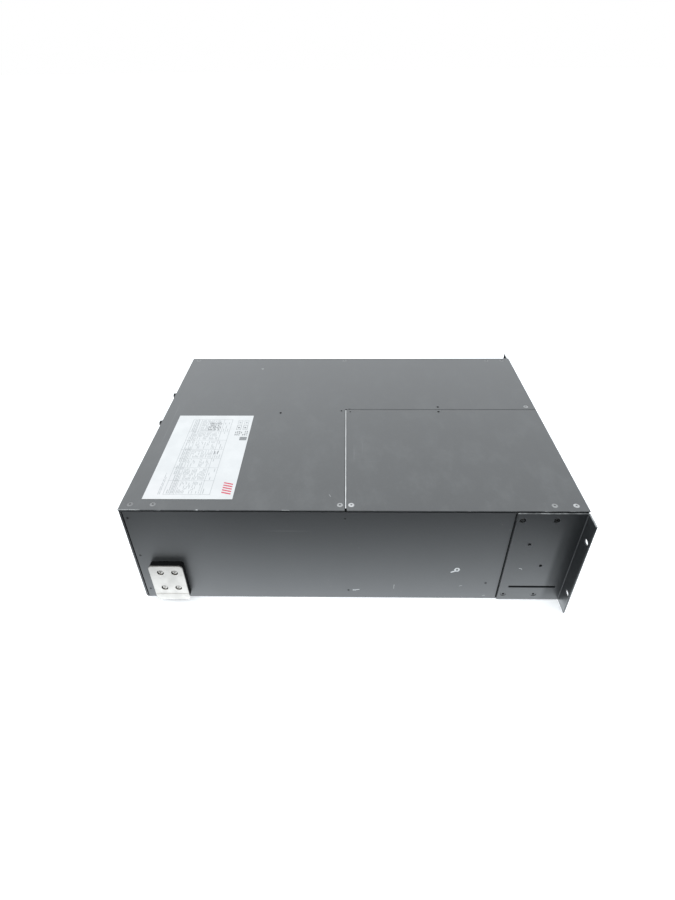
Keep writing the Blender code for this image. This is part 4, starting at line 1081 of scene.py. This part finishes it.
def fan_rotor(side):
    """A hub with a dished face and seven swept, twisted blades."""
    node = f"fan_rotor_{side}"
    low, high = mm_corners(node)
    x, z = (low.x + high.x) / 2, (low.z + high.z) / 2
    front, back = low.y, high.y
    work = bmesh.new()
    dish = [(0, front + 0.9), (11.5, front + 0.9), (12.2, front + 0.2), (15.2, front)]
    hub = dish + [(16.4, front + 1.4), (16.4, back), (0, back)]
    mm_turned(work, hub, (x, 0, z), "Y", 48)
    centre = (front + back) / 2
    stations = [(15.6, 17, 44, 0), (22, 19.5, 40, 3), (29, 21.5, 35, 8)]
    stations += [(36, 22.5, 30, 15), (41.6, 21, 27, 22)]
    for number in range(7):
        rings = []
        for radius, chord, pitch, sweep in stations:
            ring = []
            for across, along in blade_section(chord, pitch, 1.0):
                angle = 2 * math.pi * number / 7 + across / radius + math.radians(sweep)
                depth = max(front + 0.4, min(back - 0.4, centre + along))
                point = (x + radius * math.cos(angle), depth, z + radius * math.sin(angle))
                ring.append(work.verts.new(Vector(point) * MM))
            rings.append(ring)
        for inner, outer in zip(rings, rings[1:]):
            for i in range(8):
                j = (i + 1) % 8
                work.faces.new([inner[i], inner[j], outer[j], outer[i]])
        work.faces.new(list(reversed(rings[0])))
        work.faces.new(rings[-1])
    made = piece(f"{node}_blades", work, ROTOR_PLASTIC, BODY_OF[node], (node,), angle=40)
    sticker = bmesh.new()
    disc_profile = [(0, front + 0.6), (9.6, front + 0.6), (9.6, front + 0.95), (0, front + 0.95)]
    mm_turned(sticker, disc_profile, (x, 0, z), "Y", 40)
    piece(f"{node}_sticker", sticker, LABEL, BODY_OF[node])
    return made


def fan_wires(side):
    """The fan's two leads, from its frame's corner down to the power board."""
    low, high = mm_corners(f"fan_frame_{side}")
    start = high.x - 6
    for (name, look), shift in zip(RUBBER.items(), (0, 2.4)):
        work = bmesh.new()
        x = start - shift
        route = [(x, 296, low.z + 3), (x, 290, low.z - 5), (x - 2, 280, low.z - 17)]
        route += [(x - 3, 268, low.z - 27), (x - 3, 262, 12)]
        mm_tube(work, route, 0.9, 8)
        piece(f"{side}_fan_{name}_wire", work, look, CHASSIS)


def knurled(work, place, radius, start, end):
    """A knob along Y with 40 straight teeth and chamfered ends. Everything is in mm."""
    to_place = Matrix.Translation(Vector(place) * MM) @ turned_to("Y")
    count, bite = 80, 0.35
    profile = [(radius - 1.0, start), (radius, start + 0.9), (radius, end - 0.9), (radius - 1.0, end)]
    rings = []
    for level, height in profile:
        ring = []
        for i in range(count):
            reach = level - (bite if i % 2 and level == radius else 0.0)
            angle = 2 * math.pi * i / count
            point = Vector((reach * math.cos(angle), reach * math.sin(angle), height)) * MM
            ring.append(work.verts.new(to_place @ point))
        rings.append(ring)
    for lower, upper in zip(rings, rings[1:]):
        for i in range(count):
            j = (i + 1) % count
            work.faces.new([lower[i], lower[j], upper[j], upper[i]])
    work.faces.new(list(reversed(rings[0])))
    work.faces.new(rings[-1])


def thread_profile(start, stop, crest, root, pitch):
    """A turned profile of thread ridges from a closed start, and the height after the last ridge."""
    profile, height = [(0, start)], start
    while height < stop:
        profile += [(crest, height), (root, height + pitch / 2)]
        height += pitch
    return profile, height


def thumbscrew(node, look, inward):
    """A knurled knob with a slotted face and a threaded shank. inward is +1 where the shank points to +Y."""
    low, high = mm_corners(node)
    x, z = (low.x + high.x) / 2, (low.z + high.z) / 2
    work = bmesh.new()
    if inward > 0:
        head = (low.y, low.y + 9)
        shank = (head[1] - 0.5, high.y)
    else:
        head = (high.y - 8, high.y)
        shank = (low.y, head[0] + 0.5)
    knurled(work, (x, 0, z), 5.0, *head)
    thread, end = thread_profile(shank[0], shank[1] - 0.7, 1.9, 1.6, 0.7)
    thread += [(1.9, end), (0, shank[1])]
    mm_turned(work, thread, (x, 0, z), "Y", 20)
    made = to_object(f"{node}_knob", work, look, 25)
    face = head[0] if inward > 0 else head[1]
    slit = bmesh.new()
    mm_box(slit, (x - 3.2, x + 3.2), (face - 1.1, face + 1.1), (z - 0.5, z + 0.5))
    boolean(made, slit)
    made.data.set_sharp_from_angle(angle=math.radians(25))
    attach(made, BODY_OF[node])
    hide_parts(node)


def fans():
    for side in ("left", "right"):
        refined(f"fan_frame_{side}", BLACK_PLASTIC, 0.4)
        refined(f"fan_guard_{side}", BRIGHT_ZINC, 0.35)
        fan_rotor(side)
        fan_wires(side)
    screws = []
    for side in ("left", "right"):
        low, high = mm_corners(f"fan_guard_{side}")
        x, z = (low.x + high.x) / 2, (low.z + high.z) / 2
        for u in (-1, 1):
            for v in (-1, 1):
                reach = 58.3 / math.sqrt(2)
                screws.append(((x + u * reach, high.y, z + v * reach), "Y", 15 * len(screws)))
    scattered("fan_guard_screws", SMALL_PAN_HEAD, BLACK_OXIDE, CHASSIS, screws)


def rear_screws():
    top_row = [(x, 167) for x in (-208, -112, -12, 120, 208)]
    bottom_row = [(x, 8) for x in (208, 92, -12, -112)]
    spots = [(-208, 8), *top_row, *bottom_row]
    case_screws = [((x, REAR / MM, z), "Y", 23 * n) for n, (x, z) in enumerate(spots)]
    scattered("rear_panel_screws", SMALL_PAN_HEAD, BRIGHT_ZINC, CHASSIS, case_screws)


def outlets():
    for number in range(1, 5):
        refined(f"power_outlet_{number}", BLACK_PLASTIC, 0.35)
    refined("heavy_outlet", BLACK_PLASTIC, 0.4)
    refined("power_inlet", BLACK_PLASTIC, 0.3)
    contacts = bmesh.new()
    for number in range(1, 5):
        for u, v in ((-4.9, -1.6), (4.9, -1.6), (0, 2.4)):
            for side in (-0.75, 0.75):
                rear_box(contacts, f"power_outlet_{number}", (u + side, v), (0.2, 2), (295.6, 305), 0.08, 1)
    for u, v in ((-7.5, -3), (7.5, -3), (0, 4.5)):
        for side in (-0.9, 0.9):
            rear_box(contacts, "heavy_outlet", (u, v + side), (3.6, 0.25), (295.6, 305), 0.1, 1)
    piece("outlet_contacts", contacts, NICKEL, CHASSIS)
    blades = bmesh.new()
    for place in ((-7, -2.5), (7, -2.5), (0, 3.5)):
        rear_box(blades, "power_inlet", place, (3.9, 1.1), (290.2, 304.3), 0.5)
    piece("inlet_blades", blades, NICKEL, CHASSIS)


def breakers():
    for side in ("input", "output"):
        refined(f"{side}_breaker", BLACK_PLASTIC, 0.4)
        refined(f"{side}_breaker_button", KEY_PLASTIC, 0.5)
        at = middle(f"{side}_breaker")
        collar = bmesh.new()
        turns = [math.radians(60 * i) for i in range(6)]
        hexagon = [((at.x + 8.3 * math.cos(t)) * MM, (at.z + 8.3 * math.sin(t)) * MM) for t in turns]
        add_outline(collar, hexagon, 308.3 * MM, 309.2 * MM, "Y", 0.25 * MM)
        made = to_object(f"{side}_breaker_nut_face", collar, NICKEL)
        bore = bmesh.new()
        mm_turned(bore, [(5.2, 300), (5.2, 320)], (at.x, 0, at.z), "Y", 32)
        boolean(made, bore)
        made.data.set_sharp_from_angle(angle=math.radians(35))
        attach(made, CHASSIS)


def battery_port():
    refined("battery_port", GREY_PLASTIC, 0.4)
    tongues = bmesh.new()
    for side in (-12.5, 12.5):
        rear_box(tongues, "battery_port", (side, 0), (6, 1.2), (305.5, 309.0), 0.5)
        rear_box(tongues, "battery_port", (side, 3.0), (6, 0.4), (305.5, 307.4), 0.2)
    piece("battery_port_contacts", tongues, NICKEL, CHASSIS)
    at = middle("battery_port")
    scattered(
        "battery_port_screws", SMALL_PAN_HEAD, BRIGHT_ZINC, CHASSIS,
        [((at.x + side * 27.4, 307.8, at.z), "Y", 30 + side * 12) for side in (-1, 1)],
    )


def serial_port():
    at = middle("serial_port")
    x, z = at.x, at.z
    recess = bmesh.new()
    inner = [(-6.3, -3.4), (6.3, -3.4), (7.4, 3.4), (-7.4, 3.4)]
    add_outline(recess, [((x + u) * MM, (z + v) * MM) for u, v in inner], 306.6 * MM, 314 * MM, "Y")
    refined("serial_port", ALUMINIUM, 0.3, recess)
    insulator, pins = bmesh.new(), bmesh.new()
    core = [(u * 0.9, v * 0.82) for u, v in inner]
    core = [((x + u) * MM, (z + v) * MM) for u, v in core]
    add_outline(insulator, core, 306.5 * MM, 311.4 * MM, "Y", 0.3 * MM)
    pin = [(0.62, 311.2), (0.62, 311.55), (0.35, 311.6), (0.3, 311.3)]
    for row, count in ((1.42, 5), (-1.42, 4)):
        for i in range(count):
            across = x + (i - (count - 1) / 2) * 2.76
            mm_turned(pins, pin, (across, 0, z + row), "Y", 12)
    piece("serial_insulator", insulator, BLACK_PLASTIC, CHASSIS)
    piece("serial_contacts", pins, NICKEL, CHASSIS)


def usb_port():
    refined("usb_port", ALUMINIUM, 0.25)
    tongue = bmesh.new()
    rear_box(tongue, "usb_port", (0, 0), (2.9, 1.8), (298, 306.8), 0.3)
    piece("usb_tongue", tongue, KEY_PLASTIC, CHASSIS)


def ground_stud():
    refined("ground_stud", BRIGHT_ZINC, 0.25)
    at = middle("ground_stud")
    thread, _ = thread_profile(309.6, 316.2, 2.62, 2.3, 0.8)
    thread += [(2.2, 316.7), (0, 316.75)]
    work = bmesh.new()
    mm_turned(work, thread, (at.x, 0, at.z), "Y", 24)
    washer = [(2.6, 305.6), (6.2, 305.6), (6.2, 306.4), (2.6, 306.4)]
    mm_turned(work, washer, (at.x, 0, at.z), "Y", 32)
    piece("ground_stud_thread", work, BRIGHT_ZINC, CHASSIS)


def slot_parts():
    for number in (1, 2):
        thumbscrew(f"slot_thumbscrew_{number}", BLACK_PLASTIC, -1)
    refined("accessory_slot_cage", GALVANISED, 0.3)


# ---------------------------------------------------------------- front


def display():
    refined("display_housing", BLACK_PLASTIC, 0.8)
    refined("indicator_lens", LENS, 0.35)
    low, high = mm_corners("indicator_lens")
    face = low.y
    lights = {"green": bmesh.new(), "amber": bmesh.new(), "red": bmesh.new()}
    for column in (low.x + 9, high.x - 9):
        for level in range(5):
            z = low.z + 6 + 6.5 * level
            colour = "green" if level < 4 else "amber"
            depth = (face - 0.12, face + 0.4)
            mm_box(lights[colour], (column - 5, column + 5), depth, (z - 1.3, z + 1.3), 0.1, 1)
    for number, colour in enumerate(("green", "amber", "amber", "red", "red")):
        z = low.z + 6 + 6.5 * number
        x = (low.x + high.x) / 2
        profile = [(0, -0.15), (1.6, -0.15), (1.9, 0.4), (0, 0.4)]
        mm_turned(lights[colour], profile, (x, face, z), "Y", 20)
    for colour, look in (("green", GREEN_LIGHT), ("amber", AMBER_LIGHT), ("red", RED_LIGHT)):
        piece(f"{colour}_indicators", lights[colour], look, CHASSIS)
    for which in ("on", "off"):
        node = f"{which}_button"
        refined(node, KEY_PLASTIC, 0.9, steps=3)
        low, high = mm_corners(node)
        x, z = (low.x + high.x) / 2, (low.z + high.z) / 2
        sign = bmesh.new()
        if which == "on":
            mm_box(sign, (x - 0.6, x + 0.6), (low.y - 0.15, low.y + 0.3), (z - 3.2, z + 3.2), 0.12, 1)
        else:
            ring = ring_points((x * MM, (low.y + 0.05) * MM, z * MM), 2.9 * MM, 36)
            add_tube(sign, ring, 0.35 * MM, 8, closed=True)
        piece(f"{node}_sign", sign, GREY_PLASTIC, BODY_OF[node])


def front_fittings():
    display()
    refined("tray_handle", PAINT, 0.25)
    collars = bmesh.new()
    low, high = mm_corners("tray_handle")
    z = (low.z + high.z) / 2
    for x in (low.x + 4, high.x - 4):
        profile = [(3.6, -305.6), (8.0, -305.6), (8.0, -306.6), (6.4, -308.4), (3.6, -308.6)]
        mm_turned(collars, profile, (x, 0, z), "Y", 36)
    piece("handle_collars", collars, BLACK_OXIDE, DRAWER)
    for number in (1, 2):
        thumbscrew(f"tray_screw_{number}", BRIGHT_ZINC, 1)
    corners = [(40, 166), (206, 166), (40, 8), (206, 8)]
    edge_screws = [((x, FRONT / MM, z), "-Y", 31 * n) for n, (x, z) in enumerate(corners)]
    scattered("front_panel_screws", SMALL_PAN_HEAD, BLACK_OXIDE, CHASSIS, edge_screws)


# ---------------------------------------------------------------- battery drawer


def batteries():
    """The cases with their lids, vent caps and terminals. Returns each terminal's (x, y), in mm."""
    lids, caps, tabs = bmesh.new(), bmesh.new(), bmesh.new()
    posts = []
    for number in range(1, 5):
        node = f"battery_{number}"
        refined(node, BATTERY_CASE, 0.9, steps=3)
        low, high = mm_corners(node)
        y = (low.y + high.y) / 2
        lid = high.z - 7
        mm_box(lids, (low.x + 0.3, high.x - 0.3), (low.y + 0.3, high.y - 0.3), (lid - 14, lid - 13.2), 0.0)
        mm_box(lids, (low.x + 26, high.x - 26), (low.y + 6, high.y - 6), (lid - 0.5, lid + 1.4), 0.6)
        cap = [(0, lid), (6.2, lid), (6.2, lid + 2.2), (5.6, lid + 2.6), (0, lid + 2.6)]
        for i in range(6):
            mm_turned(caps, cap, (low.x + 38 + i * 21, y + 12, 0), "Z", 28)
        for x in (low.x + 15, high.x - 15):
            posts.append((x, low.y + 16))
            depth, rise = (low.y + 15.6, low.y + 16.4), (high.z - 1, high.z + 4.4)
            mm_box(tabs, (x - 3.1, x + 3.1), depth, rise, 0.25, 1)
    piece("battery_lids", lids, BATTERY_LID, DRAWER)
    piece("battery_vent_caps", caps, BATTERY_LID, DRAWER)
    piece("battery_terminals", tabs, NICKEL, DRAWER)
    return posts


def battery_leads(posts):
    """Short red links from battery to battery, and a lead of each colour down to the tray's connector."""
    leads = {"red": bmesh.new(), "black": bmesh.new()}
    top = 165
    left = [p for p in posts if p[0] < -100]
    right = [p for p in posts if p[0] > -100]
    for (x, y0), (_, y1) in ((left[0], left[1]), (right[1], right[2]), (left[2], left[3])):
        route = [(x, y0, top), (x + 1, y0 + 10, top + 3.2), (x + 2, (y0 + y1) / 2, top + 3.6)]
        route += [(x + 1, y1 - 10, top + 3.2), (x, y1, top)]
        mm_tube(leads["red"], route, 1.9, 10)
    socket = middle("tray_connector")
    for (x, y), colour, shift in ((right[3], "red", -5), (right[0], "black", 5)):
        end = (socket.x + shift, socket.y - 4, 82)
        corridor = socket.x + shift - 1
        route = [(x, y, top), (x + 10, y + 3, top + 3), (corridor - 6, y + 8, top - 2)]
        route += [(corridor, y + 14, top - 22)]
        if colour == "black":
            route += [(corridor, y + 70, 132), (corridor, y + 150, 124), (corridor, socket.y - 30, 116)]
        route += [(corridor, socket.y - 10, 104), (end[0], end[1], 92), end, (end[0], end[1], 76)]
        mm_tube(leads[colour], route, 2.6, 12)
    for colour, look in RUBBER.items():
        piece(f"battery_{colour}_leads", leads[colour], look, DRAWER)


def terminal_boots(posts):
    boots = {"red": bmesh.new(), "black": bmesh.new()}
    for number, (x, y) in enumerate(posts):
        colour = "red" if (number % 2 == 0) != (number // 2 % 2 == 1) else "black"
        mm_box(boots[colour], (x - 4.4, x + 4.4), (y - 2.6, y + 2.6), (163.2, 168.6), 0.9)
    for colour, look in RUBBER.items():
        piece(f"{colour}_terminal_boots", boots[colour], look, DRAWER)


def drawer():
    refined("battery_tray", PAINT, 0.3)
    refined("tray_connector", GREY_PLASTIC, 0.9)
    refined("bay_connector", GREY_PLASTIC, 0.9)
    posts = batteries()
    battery_leads(posts)
    terminal_boots(posts)
    spots = [((x, y, 30), axis, 0) for y in (-280, -200, -120, -40) for x, axis in ((-202, "-X"), (17, "X"))]
    scattered("tray_rivets", TRAY_RIVET, ZINC, DRAWER, spots)
    contacts = bmesh.new()
    for u in (-6.5, 6.5):
        rear_box(contacts, "tray_connector", (u, 0), (3.6, 1.2), (4.6, 6.1), 0.3)
    piece("tray_connector_contacts", contacts, NICKEL, DRAWER)


# ---------------------------------------------------------------- inside


def inside():
    refined("transformer_core", CORE_STEEL, 0.8)
    refined("transformer_winding", WINDING, 3.0, steps=4)
    refined("power_board", BOARD, 0.15)
    refined("display_board", BOARD, 0.15)
    for side in ("left", "right"):
        refined(f"heatsink_{side}", ALUMINIUM, 0.3)
    for number in (1, 2):
        refined(f"bus_capacitor_{number}", SLEEVE, 1.6, steps=3)
    refined("battery_cable", RED_RUBBER, 0.2)
    board_parts()
    bolts = [((x, y, 126.8), "Z", 0) for x in (55, 189) for y in (-182, -118)]
    scattered("transformer_bolts", PAN_HEAD, BRIGHT_ZINC, CHASSIS, bolts)


def board_parts():
    """Chips, cans and chokes in four rows on the power board."""
    rng = random.Random(7)
    chips, cans, coils = bmesh.new(), bmesh.new(), bmesh.new()
    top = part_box("power_board")[1].z / MM
    for row in range(4):
        for column in range(5):
            x, y = 128 + column * 15 + rng.uniform(-3, 3), 60 + row * 44 + rng.uniform(-6, 6)
            kind = rng.random()
            if kind < 0.4:
                width, depth = rng.uniform(4, 9), rng.uniform(5, 12)
                across, along = (x - width / 2, x + width / 2), (y - depth / 2, y + depth / 2)
                mm_box(chips, across, along, (top - 0.2, top + rng.uniform(1.6, 5)), 0.3, 1)
            elif kind < 0.75:
                radius, height = rng.uniform(3, 6), rng.uniform(12, 26)
                profile = [(0, 0), (radius, 0), (radius, height - 0.8), (radius - 0.8, height), (0, height)]
                mm_turned(cans, profile, (x, y, top), "Z", 24)
            else:
                for turn in range(7):
                    ring = ring_points((x * MM, (y - 6 + 2 * turn) * MM, (top + 7) * MM), 5.2 * MM, 20)
                    add_tube(coils, ring, 0.7 * MM, 6, closed=True)
    piece("board_chips", chips, BLACK_PLASTIC, CHASSIS)
    piece("board_capacitors", cans, SLEEVE, CHASSIS)
    piece("board_chokes", coils, WINDING, CHASSIS)


restyle_all()
casing()
ears_and_rails()
casing_fasteners()
label_print()
fans()
rear_screws()
outlets()
breakers()
battery_port()
serial_port()
usb_port()
ground_stud()
slot_parts()
front_fittings()
drawer()
inside()
